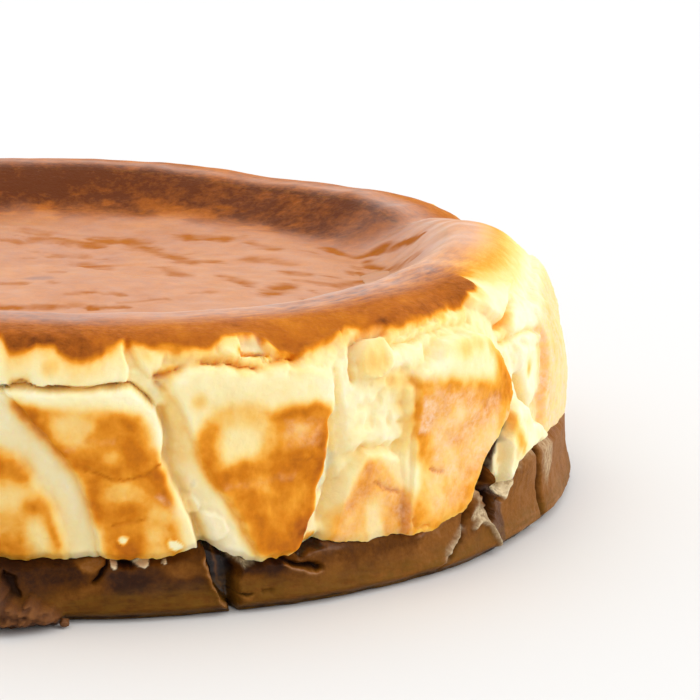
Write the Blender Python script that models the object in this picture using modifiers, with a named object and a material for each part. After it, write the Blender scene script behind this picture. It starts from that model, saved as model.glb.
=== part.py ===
"""A chocolate basque cheesecake, whole and uncut, in metres with +Z up.

The cake stands on the plane z = 0 with its axis on the Z axis. Two pieces run right through it:
a chocolate layer below and a pale cheesecake layer above, which meet on an uneven surface.
Each piece starts as a turned blank, a plain disc with rounds of points on its underside, wall
and top. Its points are then moved to the baked form: a sunken top inside a rolled rim, and a
wall with the blocks and folds that crumpled baking paper leaves.

Angles are in degrees from the front (-Y) towards the right side (+X). Lengths are in millimetres
until a point is written to a mesh.
"""

import math
import random

import bmesh
import bpy
import numpy as np

# Driving dimensions
MM = 0.001
COLUMNS = 190  # points in one round of the wall
BUSY_SIDE = 36.0  # the angle where the columns of points stand closest together
CROWDING = 0.42  # and by what share closer than they would be if they were even
EDGE_SPREAD = 1.5  # the edges of blocks and folds are this much wider than baked, to suit the net
WALL_RADIUS = 98.3  # the cheesecake's wall in the valleys between its blocks
CHOCOLATE_RADIUS = 99.6
FOOT_RADIUS = 101.3
FOOT_ROUND = 2.2
LAYER_GAP = 0.3  # between the two pieces, so that they touch without sharing a face
TUCK = 1.6  # how far each layer's edge turns in where the two meet
MIDDLE_JOIN = 12.0  # height of the join between the layers in the middle of the cake
DISH_FLOOR = 40.6
DISH_SLOPE = 19.0  # width of the slope from the rim's crest down to the sunken floor
FLOOR_WAVE = 0.7
ARC = math.radians(1.0) * 100.0  # millimetres of wall in one degree

# Curves round the cake: (angle, value) pairs, joined smoothly
CREST_RADIUS = [(-60, 79), (-10, 82), (25, 82), (60, 80), (85, 78), (125, 76), (150, 76), (180, 77),
                (240, 78)]
CREST_HEIGHT = [(-60, 50.5), (0, 50.3), (40, 50.6), (66, 52.4), (82, 51.9), (90, 50.7), (96, 49.3),
                (102, 47.9), (109, 45.4), (117, 47.2), (126, 47.8), (137, 47.1), (148, 46.6), (158, 47.5),
                (168, 48.0), (180, 48.6), (192, 48.7), (206, 49.6), (230, 51.2), (265, 50.2)]
SHOULDER_START = [(-60, 36), (-10, 40), (28, 39), (55, 33), (80, 24), (110, 30), (150, 36), (200, 32),
                  (250, 37)]
SHOULDER_POWER = [(-60, 2.6), (0, 3.0), (30, 2.7), (60, 2.3), (85, 2.1), (150, 2.5), (220, 2.2), (260, 2.5)]
JOIN_HEIGHT = [(-20, 11.5), (-8, 10.3), (2, 10.6), (8, 10.4), (12.5, 12.2), (18, 8.8), (22, 8.8),
               (24.5, 10.0), (33, 9.0), (39, 9.0), (43, 10.4), (46, 11.2), (48, 14.2), (50.5, 19.8),
               (54, 12.5), (60, 15.2), (71, 15.4), (84, 16.0), (97, 12.4), (112, 14.2), (127, 10.6), (146, 12.8),
               (160, 9.8), (178, 13.6), (196, 11.0), (214, 15.2), (231, 10.4), (252, 12.6), (274, 9.6),
               (297, 13.4), (318, 10.2)]

# Blocks of the wall between the paper's folds: how far each stands out, how softly its edge
# falls, and its outline as (angle, height) corners
FRONT_BLOCKS = [
    # The band over the left block, and the low shelf beside it
    (2.0, 1.2, [(-15, 50), (-15, 41.6), (-6.4, 41.0), (-5.2, 41.9), (-4.0, 40.8), (0, 40.9), (4.8, 41.1),
                (5.6, 42.4), (6.0, 44.5), (4.8, 47.5), (5, 50)]),
    (1.2, 1.8, [(5, 49.5), (5.3, 43.6), (6.2, 42.8), (7.6, 42.3), (8.4, 44.0), (13, 44.3), (16.2, 45.0),
                (17, 46.0), (19.6, 45.9), (22, 43.6), (25, 43.5), (28.6, 46), (29, 49.5)]),
    # The left block on its shallow shelf, and the corner of the next one to its left
    (1.0, 5.0, [(-9, 41), (-4, 40), (3, 22), (3, 8), (-17, 8), (-17, 40)]),
    (2.9, 2.4, [(-6.8, 40.2), (0, 40.4), (4.6, 40.9), (6.2, 39.6), (7.4, 37.0), (8.3, 34), (9.0, 30.8),
                (10, 25.2), (11.2, 18), (13, 11), (12, 8), (3, 8), (1.9, 13), (1.0, 23), (-1.4, 29.5),
                (-4, 34.5)]),
    (2.0, 3.6, [(-17, 32), (-8, 30.5), (-5, 28.5), (-3.4, 24.5), (-1.6, 19), (-0.6, 13), (-1, 8), (-17, 8)]),
    # The middle block, which narrows to a tongue over the chocolate
    (3.0, 2.4, [(10.0, 37), (8.7, 39.6), (8.9, 41.6), (10.6, 43.2), (14.3, 43.6), (17.9, 42.3), (21.5, 42.6),
                (26.8, 42.0), (26.6, 36), (25.6, 30), (25.1, 22), (24.2, 15), (22.9, 10.5), (22, 7.5),
                (17.6, 7.5), (17.2, 12), (15.6, 18), (14, 22), (12.6, 28), (11.4, 33)]),
    # The low patch, the raw shelf and the small round lobe to its right
    (2.1, 2.6, [(28.6, 24), (31, 26.8), (34.2, 25.6), (36.2, 22), (36.9, 8), (27, 8), (27.4, 16)]),
    (1.7, 3.4, [(26.8, 42), (30, 44), (36.4, 41.5), (36.8, 34), (36.6, 27), (33, 27.5), (28, 27),
                (27.6, 34)]),
    (2.9, 1.8, [(29.8, 43.2), (31, 45.0), (33.2, 44.4), (33.8, 42), (33.2, 39.4), (31.6, 38.4), (30, 39.8)]),
    # The right block, whose right edge overhangs a deep crevice
    (3.6, 2.9, [(36.2, 38.6), (38, 40.2), (41, 43.2), (45, 43.4), (48.2, 41.8), (51, 38.2), (53.8, 33.5),
                (54.7, 29.5), (53.4, 26), (51.4, 22.6), (49.2, 19), (47.6, 14.5), (45.8, 10.5), (44.8, 8),
                (36.8, 8), (37.4, 16), (37.4, 30)]),
    # The ridge behind the crevice, the pale fold over it and the last block at the right
    (2.2, 3.6, [(53.8, 26.6), (55.6, 28.2), (57.4, 26), (58.4, 22), (60.4, 17), (59.6, 14.6), (57, 13.4),
                (54.6, 11), (53.4, 14), (52.8, 21)]),
    (1.7, 3.2, [(55.6, 44.6), (58, 47), (62, 46), (64.4, 41), (62.5, 35), (59.6, 30), (57.6, 31), (56.2, 34),
                (55.2, 40)]),
    (1.5, 3.0, [(62, 42), (63.6, 34), (62.6, 26), (63.4, 14), (75, 12), (76.5, 28), (73, 39), (68, 44)]),
    (1.2, 5.0, [(82.5, 30), (86, 33), (93, 34), (97, 32), (98.5, 25), (97.5, 8), (81, 8), (80, 20)]),
]
HIDDEN_FROM = 101.0  # the rest of the wall has blocks of the same kind, set out by a rule
HIDDEN_TO = 342.0
BLOCK_WIDTHS = (11.0, 21.0)
FOLD_WIDTHS = (1.6, 4.4)
BLOCK_TOPS = (37.5, 43.5)
BLOCK_RAISES = (1.8, 3.4)
SEED = 11

# Folds cut into the wall: (half width, depth, points as (angle, height))
FRONT_FOLDS = [
    (0.8, 2.4, [(-9, 40.3), (-5, 40.2), (0, 40.7), (5, 41), (6.8, 39.6), (7.8, 37.4)]),
    (1.4, 2.4, [(8.6, 36), (9.3, 31), (9.8, 26.5), (11.4, 21), (12.8, 15.5), (13.8, 11)]),
    (1.0, 2.6, [(8.3, 43.4), (9.6, 41.4)]),
    (0.8, 2.2, [(16.6, 45.4), (19.3, 45.0)]),
    (0.9, 2.6, [(34.4, 46), (31, 45.6), (29.3, 43), (29, 39.5)]),
    (1.3, 1.6, [(26.3, 33), (26.6, 27), (27.2, 21), (26, 15)]),
    (1.7, 3.2, [(55.2, 31), (54.2, 27), (52.6, 23.4), (51, 20.4), (49.8, 17)]),
    (1.1, 2.4, [(56.6, 31.5), (57.8, 27.5), (59.2, 23), (60.6, 19)]),
    (1.0, 2.2, [(56.8, 46), (54.4, 44.6), (52, 43.4), (50, 42.6)]),
]
CHOCOLATE_FOLDS = [
    (1.5, 4.4, [(12.9, 13.5), (13.6, 9.5), (14.8, 5.5), (16.2, 0)]),
    (0.8, 1.2, [(4.8, 11), (2.6, 6)]),
    (1.7, 4.8, [(50.2, 21), (50.0, 14), (50.6, 8), (51.6, 1.5)]),
    (1.0, 3.2, [(62.8, 16.5), (63.6, 9), (65.4, 0)]),
    (1.4, 1.8, [(46, 10.4), (43.6, 7.4), (41.4, 4.2), (39.8, 2.6)]),
]
HIDDEN_CHOCOLATE_FOLDS = 13

# The broken lump at the foot of the front: (angle, height, half width, stand-out)
CRAG_LUMPS = [(-8.6, 2.6, 6.5, 5.4), (-4.6, 3.6, 4.6, 4.6), (-6.6, 6.2, 4.4, 2.6), (-12, 3.4, 4.6, 3.0),
              (-2.2, 1.4, 2.6, 2.2)]

# Colours, as linear red, green and blue
CHEESE_COLOUR = (0.93, 0.66, 0.30, 1.0)
CHOCOLATE_COLOUR = (0.13, 0.055, 0.018, 1.0)


def clear_scene():
    for thing in list(bpy.data.objects):
        bpy.data.objects.remove(thing)


def smooth(t):
    t = np.clip(t, 0.0, 1.0)
    return t * t * (3.0 - 2.0 * t)


def around(angle, knots):
    """The value at each angle of a curve that closes on itself and runs smoothly between its knots."""
    places = np.array([k[0] for k in knots], float)
    values = np.array([k[1] for k in knots], float)
    turned = (np.asarray(angle, float) - places[0]) % 360.0
    starts = np.append(places - places[0], 360.0)
    values = np.append(values, values[0])
    cell = np.clip(np.searchsorted(starts, turned, side="right") - 1, 0, len(starts) - 2)
    t = smooth((turned - starts[cell]) / (starts[cell + 1] - starts[cell]))
    return values[cell] * (1.0 - t) + values[cell + 1] * t


def from_middle(angle, middle):
    """Angles as measured from a middle one, from -180 to 180."""
    return (np.asarray(angle, float) - middle + 180.0) % 360.0 - 180.0


def on_wall(angle, height, points):
    """Places on the unrolled wall in millimetres, of the surface and of a feature's own points."""
    middle = sum(p[0] for p in points) / len(points)
    surface = np.stack([from_middle(angle, middle) * ARC, height], -1)
    feature = [np.array([(p[0] - middle) * ARC, p[1]]) for p in points]
    return surface, feature


def to_segment(surface, start, end):
    along = end - start
    t = np.clip(((surface - start) @ along) / (along @ along), 0.0, 1.0)
    return np.linalg.norm(surface - start - t[..., None] * along, axis=-1)


def to_line(angle, height, points):
    """Distance from each place to an open line on the wall."""
    surface, line = on_wall(angle, height, points)
    return np.min([to_segment(surface, a, b) for a, b in zip(line, line[1:])], axis=0)


def into_outline(angle, height, corners):
    """How deep each place lies inside a closed outline, less than nothing outside it."""
    surface, loop = on_wall(angle, height, corners)
    nearest = np.full(surface.shape[:-1], np.inf)
    within = np.zeros(surface.shape[:-1], bool)
    for a, b in zip(loop, loop[1:] + loop[:1]):
        nearest = np.minimum(nearest, to_segment(surface, a, b))
        if a[1] != b[1]:
            spans = (a[1] > surface[..., 1]) != (b[1] > surface[..., 1])
            crossing = a[0] + (surface[..., 1] - a[1]) * (b[0] - a[0]) / (b[1] - a[1])
            within ^= spans & (surface[..., 0] < crossing)
    return np.where(within, nearest, -nearest)


def hidden_blocks():
    """Blocks round the rest of the wall, like those at the front: slanting, uneven and close together."""
    draw = random.Random(SEED)
    blocks = []
    left = HIDDEN_FROM
    lean = 0.0
    while left < HIDDEN_TO - BLOCK_WIDTHS[0]:
        right = min(left + draw.uniform(*BLOCK_WIDTHS), HIDDEN_TO)
        middle = (left + right) / 2.0
        top = draw.uniform(*BLOCK_TOPS)
        next_lean = draw.uniform(-5.0, 5.0)
        corners = [
            (left - lean, top - 2.5),
            (left - lean + 2.0, top),
            (middle, top + draw.uniform(-1.5, 1.0)),
            (right - next_lean - 2.0, top - 0.5),
            (right - next_lean, top - 4.0),
            (right + draw.uniform(-0.8, 0.8), 26.0),
            (right + next_lean * 0.6, 8.0),
            (left + lean * 0.6, 8.0),
            (left + draw.uniform(-0.8, 0.8), 25.0),
        ]
        blocks.append((draw.uniform(*BLOCK_RAISES), draw.uniform(2.0, 3.2), corners))
        left = right + draw.uniform(*FOLD_WIDTHS)
        lean = next_lean
    return blocks


def hidden_chocolate_folds():
    """Upright folds in the chocolate on the sides that the front folds leave plain."""
    draw = random.Random(SEED + 1)
    folds = []
    step = (HIDDEN_TO - HIDDEN_FROM) / HIDDEN_CHOCOLATE_FOLDS
    for i in range(HIDDEN_CHOCOLATE_FOLDS):
        place = HIDDEN_FROM + step * (i + draw.uniform(0.15, 0.85))
        lean = draw.uniform(-3.0, 3.0)
        half_width = draw.uniform(1.1, 2.2)
        deep = draw.uniform(1.4, 4.0)
        folds.append((half_width, deep, [(place, 15), (place + lean * 0.4, 7), (place + lean, 0)]))
    return folds


def raised(angle, height, blocks):
    """How far the blocks lift the wall at each place; where two overlap the higher one counts."""
    lift = np.zeros(np.shape(angle))
    for raise_by, softness, corners in blocks:
        depth = into_outline(angle, height, corners)
        lift = np.maximum(lift, raise_by * smooth(depth / (softness * EDGE_SPREAD) + 0.5))
    return lift


def cut(angle, height, folds):
    """How far the folds cut into the wall at each place."""
    depth = np.zeros(np.shape(angle))
    for half_width, deep, points in folds:
        away = to_line(angle, height, points) / (half_width * EDGE_SPREAD)
        depth = np.maximum(depth, deep * np.exp(-away * away))
    return depth


def lumps(angle, height, places):
    lift = np.zeros(np.shape(angle))
    for middle, up, half_width, stand_out in places:
        across = from_middle(angle, middle) * ARC
        away = np.hypot(across, height - up) / half_width
        lift = lift + stand_out * np.exp(-away * away)
    return lift


def waves(angle, height):
    """The slow unevenness of a wall that leant against crumpled paper."""
    turn = np.radians(angle)
    return (0.5 * np.sin(5.0 * turn + height / 11.0) + 0.4 * np.sin(9.0 * turn - height / 7.0 + 1.3)
            + 0.3 * np.sin(17.0 * turn + height / 5.0 + 0.4))


def join_height(angle, radius):
    """Height of the uneven surface where the layers meet: level inside, wavy near the wall."""
    share = smooth((radius / WALL_RADIUS - 0.72) / 0.16)
    return MIDDLE_JOIN * (1.0 - share) + around(angle, JOIN_HEIGHT) * share


def shoulder(angle, turn):
    """Radius and height on the rounded shoulder, from the wall (turn 0) to the crest (turn 90)."""
    power = 2.0 / around(angle, SHOULDER_POWER)
    crest_radius = around(angle, CREST_RADIUS)
    crest = around(angle, CREST_HEIGHT)
    start = around(angle, SHOULDER_START)
    turn = np.radians(turn)
    radius = crest_radius + (WALL_RADIUS - crest_radius) * np.cos(turn).clip(0.0, 1.0) ** power
    height = start + (crest - start) * np.sin(turn).clip(0.0, 1.0) ** power
    return radius, height


def dish(angle, share):
    """Radius and height on the sunken top, from its middle (share 0) to the rim's crest (share 1)."""
    crest_radius = around(angle, CREST_RADIUS)
    crest = around(angle, CREST_HEIGHT)
    radius = crest_radius * share
    turn = np.radians(angle)
    wave = FLOOR_WAVE * share * (np.sin(2.0 * turn + 0.6) + np.sin(radius / 9.0 + 3.0 * np.sin(turn)))
    rise = smooth(1.0 - (crest_radius - radius) / DISH_SLOPE)
    return radius, (DISH_FLOOR + wave) * (1.0 - rise) + crest * rise


def turned_blank(name, profile):
    """A disc turned from a profile that runs from the top's middle, down the wall, to below its middle."""
    outline = bpy.data.meshes.new(name + "_profile")
    points = [(radius * MM, 0.0, height * MM) for radius, height in profile]
    outline.from_pydata(points, [(i, i + 1) for i in range(len(points) - 1)], [])
    blank = bpy.data.objects.new(name, outline)
    bpy.context.scene.collection.objects.link(blank)
    screw = blank.modifiers.new("turn", "SCREW")
    screw.axis = "Z"
    screw.angle = math.radians(360.0)
    screw.steps = COLUMNS
    screw.render_steps = COLUMNS
    screw.use_merge_vertices = True
    screw.merge_threshold = 0.00002
    depsgraph = bpy.context.evaluated_depsgraph_get()
    mesh = bpy.data.meshes.new_from_object(blank.evaluated_get(depsgraph))
    bpy.data.objects.remove(blank)
    bpy.data.meshes.remove(outline)
    mesh.name = name
    return mesh


def blank_places(mesh):
    """Each point of a blank as an angle, a radius and a height, its columns crowded to the busy side."""
    places = np.empty(len(mesh.vertices) * 3, np.float32)
    mesh.vertices.foreach_get("co", places)
    x, y, z = places.reshape(-1, 3).T.astype(float) / MM
    even = np.degrees(np.arctan2(x, -y))
    crowded = even - math.degrees(CROWDING) * np.sin(np.radians(even - BUSY_SIDE))
    return crowded, np.hypot(x, y), z


def move_points(mesh, angle, radius, height):
    turn = np.radians(angle)
    places = np.stack([radius * np.sin(turn), -radius * np.cos(turn), height], -1) * MM
    mesh.vertices.foreach_set("co", places.astype(np.float32).ravel())
    mesh.update()


def split_quads(mesh):
    """Splits every quad by its shorter diagonal, so that the two sides of the join split alike."""
    shape = bmesh.new()
    shape.from_mesh(mesh)
    bmesh.ops.triangulate(shape, faces=shape.faces, quad_method="SHORT_EDGE")
    shape.to_mesh(mesh)
    shape.free()


# A blank's own sizes only number its points: its wall spans heights 0 to 1 between its two faces
BLANK_RADIUS = 100.0
BLANK_TOP = 60.0


def blank_profile(top_rings, wall_steps, bottom_rings):
    profile = [(BLANK_RADIUS * share, BLANK_TOP) for share in top_rings]
    profile += [(BLANK_RADIUS, BLANK_TOP * share) for share in wall_steps]
    return profile + [(BLANK_RADIUS * share, 0.0) for share in bottom_rings]


def cheese_places(angle, radius, height):
    """Where each point of the cheesecake blank belongs on the baked layer."""
    share = radius / BLANK_RADIUS
    up = height / BLANK_TOP
    blocks = FRONT_BLOCKS + hidden_blocks()

    # The wall: its lower part climbs straight, its upper part rolls over the shoulder
    straight = 0.56
    join = around(angle, JOIN_HEIGHT) + LAYER_GAP
    start = around(angle, SHOULDER_START)
    climb = np.clip(up / straight, 0.0, 1.0)
    turn = 90.0 * np.clip((up - straight) / (1.0 - straight), 0.0, 1.0)
    wall_radius, wall_height = shoulder(angle, turn)
    wall_height = np.where(up < straight, join + (start - join) * climb, wall_height)
    lean = np.radians(turn)
    lift = raised(angle, wall_height, blocks) - cut(angle, wall_height, FRONT_FOLDS)
    lift = lift + waves(angle, wall_height)
    lift = lift * smooth((80.0 - turn) / 40.0)
    lift = lift - TUCK * smooth(1.0 - (wall_height - join) / TUCK)
    wall_radius = wall_radius + lift * np.cos(lean)
    wall_height = wall_height + lift * np.sin(lean)

    dish_radius, dish_height = dish(angle, share)
    under_radius = np.where(share > 0.99, edge_radius(angle, blocks), WALL_RADIUS * share)
    under_height = join_height(angle, WALL_RADIUS * share) + LAYER_GAP

    on_top = height > BLANK_TOP - 1e-3
    beneath = height < 1e-3
    new_radius = np.where(on_top, dish_radius, np.where(beneath, under_radius, wall_radius))
    new_height = np.where(on_top, dish_height, np.where(beneath, under_height, wall_height))
    return new_radius, new_height


def edge_radius(angle, blocks):
    """Radius of the cheesecake's lower edge, where it turns in over the chocolate."""
    low = around(angle, JOIN_HEIGHT) + LAYER_GAP
    return WALL_RADIUS + raised(angle, low, blocks) - cut(angle, low, FRONT_FOLDS) + waves(angle, low) - TUCK


def chocolate_wall(angle, height):
    """Radius of the chocolate's wall: it widens a little to its foot, with folds and the broken lump."""
    flare = (FOOT_RADIUS - CHOCOLATE_RADIUS) * smooth(1.0 - height / 9.0)
    folds = CHOCOLATE_FOLDS + hidden_chocolate_folds()
    lift = 0.6 * waves(angle, height) - cut(angle, height, folds) + lumps(angle, height, CRAG_LUMPS)
    return CHOCOLATE_RADIUS + flare + lift


def chocolate_places(angle, radius, height):
    """Where each point of the chocolate blank belongs on the baked layer."""
    share = radius / BLANK_RADIUS
    up = height / BLANK_TOP
    join = around(angle, JOIN_HEIGHT)
    wall_height = join * up
    tuck = TUCK * smooth((up - 0.84) / 0.16) + FOOT_ROUND * smooth(1.0 - wall_height / FOOT_ROUND)
    wall_radius = chocolate_wall(angle, wall_height) - tuck
    on_top = height > BLANK_TOP - 1e-3
    beneath = height < 1e-3
    top_edge = chocolate_wall(angle, join) - TUCK
    foot_edge = chocolate_wall(angle, np.zeros_like(angle)) - FOOT_ROUND
    outermost = np.where(on_top, top_edge, foot_edge)
    flat_radius = np.where(share > 0.99, outermost, WALL_RADIUS * share)
    new_radius = np.where(on_top | beneath, flat_radius, wall_radius)
    flat_height = np.where(on_top, join_height(angle, WALL_RADIUS * share), 0.0)
    new_height = np.where(on_top | beneath, flat_height, wall_height)
    return new_radius, new_height


def food_material(name, colour, roughness):
    material = bpy.data.materials.new(name)
    material.use_nodes = True
    shader = material.node_tree.nodes["Principled BSDF"]
    shader.inputs["Base Color"].default_value = colour
    shader.inputs["Roughness"].default_value = roughness
    material.diffuse_color = colour
    return material


def add_layer(name, profile, place, material, collection):
    mesh = turned_blank(name, profile)
    angle, radius, height = blank_places(mesh)
    new_radius, new_height = place(angle, radius, height)
    move_points(mesh, angle, new_radius, new_height)
    split_quads(mesh)
    mesh.materials.clear()
    mesh.materials.append(material)
    mesh.shade_smooth()
    layer = bpy.data.objects.new(name, mesh)
    collection.objects.link(layer)
    return layer


def build_cake():
    clear_scene()
    collection = bpy.data.collections.new("chocolate_basque_cheesecake")
    bpy.context.scene.collection.children.link(collection)
    cheese = food_material("baked_cheesecake", CHEESE_COLOUR, 0.5)
    chocolate = food_material("baked_chocolate", CHOCOLATE_COLOUR, 0.4)
    inner_rings = [0.0, 0.72, 0.88]
    cheese_profile = blank_profile(
        [0.0, 0.4, 0.7, 0.78, 0.85, 0.92, 1.0],
        [0.93, 0.87, 0.81, 0.75, 0.69, 0.63, 0.56, 0.51, 0.46, 0.41, 0.36, 0.31, 0.26, 0.21, 0.16, 0.12, 0.08,
         0.04],
        [1.0] + inner_rings[::-1],
    )
    chocolate_profile = blank_profile(inner_rings + [1.0], [0.84, 0.66, 0.48, 0.3, 0.12], [1.0, 0.0])
    add_layer("cheesecake_layer", cheese_profile, cheese_places, cheese, collection)
    add_layer("chocolate_layer", chocolate_profile, chocolate_places, chocolate, collection)


build_cake()
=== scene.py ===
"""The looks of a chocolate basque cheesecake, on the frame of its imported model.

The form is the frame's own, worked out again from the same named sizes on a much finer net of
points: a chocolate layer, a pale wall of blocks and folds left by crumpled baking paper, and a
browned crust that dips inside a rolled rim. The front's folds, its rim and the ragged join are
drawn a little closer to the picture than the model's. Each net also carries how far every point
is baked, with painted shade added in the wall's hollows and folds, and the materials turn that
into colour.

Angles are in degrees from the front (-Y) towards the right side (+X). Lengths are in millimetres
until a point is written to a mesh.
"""
import math
import random
from collections import namedtuple

import bpy
import numpy as np
from mathutils import Matrix, Vector


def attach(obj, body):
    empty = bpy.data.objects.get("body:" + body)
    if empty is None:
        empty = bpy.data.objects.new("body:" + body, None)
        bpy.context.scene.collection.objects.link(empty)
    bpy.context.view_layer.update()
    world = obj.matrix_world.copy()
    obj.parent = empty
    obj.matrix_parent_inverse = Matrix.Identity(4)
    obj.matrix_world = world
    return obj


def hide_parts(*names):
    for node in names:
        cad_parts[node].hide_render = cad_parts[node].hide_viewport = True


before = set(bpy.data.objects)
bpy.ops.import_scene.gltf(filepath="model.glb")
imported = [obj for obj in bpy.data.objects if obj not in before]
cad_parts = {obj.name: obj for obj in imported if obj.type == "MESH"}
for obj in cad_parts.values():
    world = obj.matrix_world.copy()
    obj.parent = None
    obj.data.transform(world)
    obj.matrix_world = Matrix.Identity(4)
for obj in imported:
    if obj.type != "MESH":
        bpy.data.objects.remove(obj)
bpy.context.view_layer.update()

Section = namedtuple("Section", "radius height length crest rolled")

MM = 0.001

# Driving dimensions, the same as the model's
WALL_RADIUS = 98.3
CHOCOLATE_RADIUS = 99.6
FOOT_RADIUS = 101.3
FOOT_ROUND = 2.2
LAYER_GAP = 0.3
TUCK = 1.6
MIDDLE_JOIN = 12.0
DISH_FLOOR = 40.6
DISH_SLOPE = 19.0
FLOOR_WAVE = 0.7
ROUND = 100.0  # lengths along the wall are measured at this radius
ARC = math.radians(1.0) * ROUND  # the length of one degree there

# Curves round the cake: angle, value. The rim's crest and how the wall turns over into it
CREST_RADIUS = [
    (-60, 79), (-10, 82), (25, 82), (60, 80), (85, 78), (125, 76), (150, 76), (180, 77), (240, 78)
]
CREST_HEIGHT = [
    (-60, 50.3), (-12, 49.3), (22, 49.2), (42, 50.2), (66, 52.4), (82, 51.9), (90, 50.7), (96, 49.3),
    (102, 47.9), (109, 45.4), (117, 47.2), (126, 47.8), (137, 47.1), (148, 46.6), (158, 47.5),
    (168, 48.0), (180, 48.6), (192, 48.7), (206, 49.6), (230, 51.2), (265, 50.2)
]
SHOULDER_START = [
    (-60, 36), (-10, 40), (28, 39), (55, 33), (80, 24), (110, 30), (150, 36), (200, 32), (250, 37)
]
SHOULDER_POWER = [(-60, 2.6), (0, 3.0), (30, 2.7), (60, 2.3), (85, 2.1), (150, 2.5), (220, 2.2), (260, 2.5)]
# Height of the join between the layers where it meets the side
JOIN_HEIGHT = [
    (-20, 11.5), (-8, 10.3), (2, 10.6), (8, 10.4), (12.5, 12.2), (18, 8.8), (22, 8.8), (24.5, 10.0),
    (33, 9.0), (39, 9.0), (43, 10.4), (46, 11.2), (48, 14.2), (50.5, 19.8), (52.2, 12.6), (53.4, 11.2),
    (55.2, 14.8), (57.5, 16.4), (60, 16.6), (66, 16.2), (71, 15.6), (84, 16.0), (97, 12.4), (112, 14.2),
    (127, 10.6), (146, 12.8), (160, 9.8), (178, 13.6), (196, 11.0), (214, 15.2), (231, 10.4), (252, 12.6),
    (274, 9.6), (297, 13.4), (318, 10.2)
]

# Height of the crust's ragged lower edge round the cake
CRUST_EDGE = [
    (-30, 47.2), (-19, 45.4), (-12, 46.6), (-7.5, 47.1), (-6.2, 45.2), (-5.4, 45.2), (-3.6, 46.1),
    (-2.4, 46.0), (-1, 45.0), (0, 44.6), (1.2, 44.7), (2.4, 45.2), (3.4, 45.9), (4.6, 46.8), (8, 46.3),
    (11, 45.9), (13, 45.7), (15.5, 47.0), (18.5, 47.3), (19.7, 46.4), (21.2, 44.6), (22.7, 43.8),
    (24.2, 44.8), (26.8, 45.8), (28.5, 46.5), (30.2, 47.2), (32, 46.5), (35, 46.0), (36.4, 45.9),
    (38, 46.4), (43.2, 46.4), (45.6, 46.9), (47.5, 46.4), (49, 47.1), (50.2, 47.7), (51.2, 47.4),
    (52.4, 48.0), (53.3, 49.8), (54.3, 49.2), (56, 48.0), (60, 47.4), (75, 48.0), (92, 46.6), (104, 43.6),
    (109, 42.0), (118, 43.6), (131, 46.2), (140, 44.2), (156, 46.4), (170, 45.2), (186, 46.6),
    (203, 44.6), (219, 46.8), (238, 45.6), (256, 47.2), (275, 46.0), (291, 47.4), (310, 46.2), (322, 47.6)
]

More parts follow.
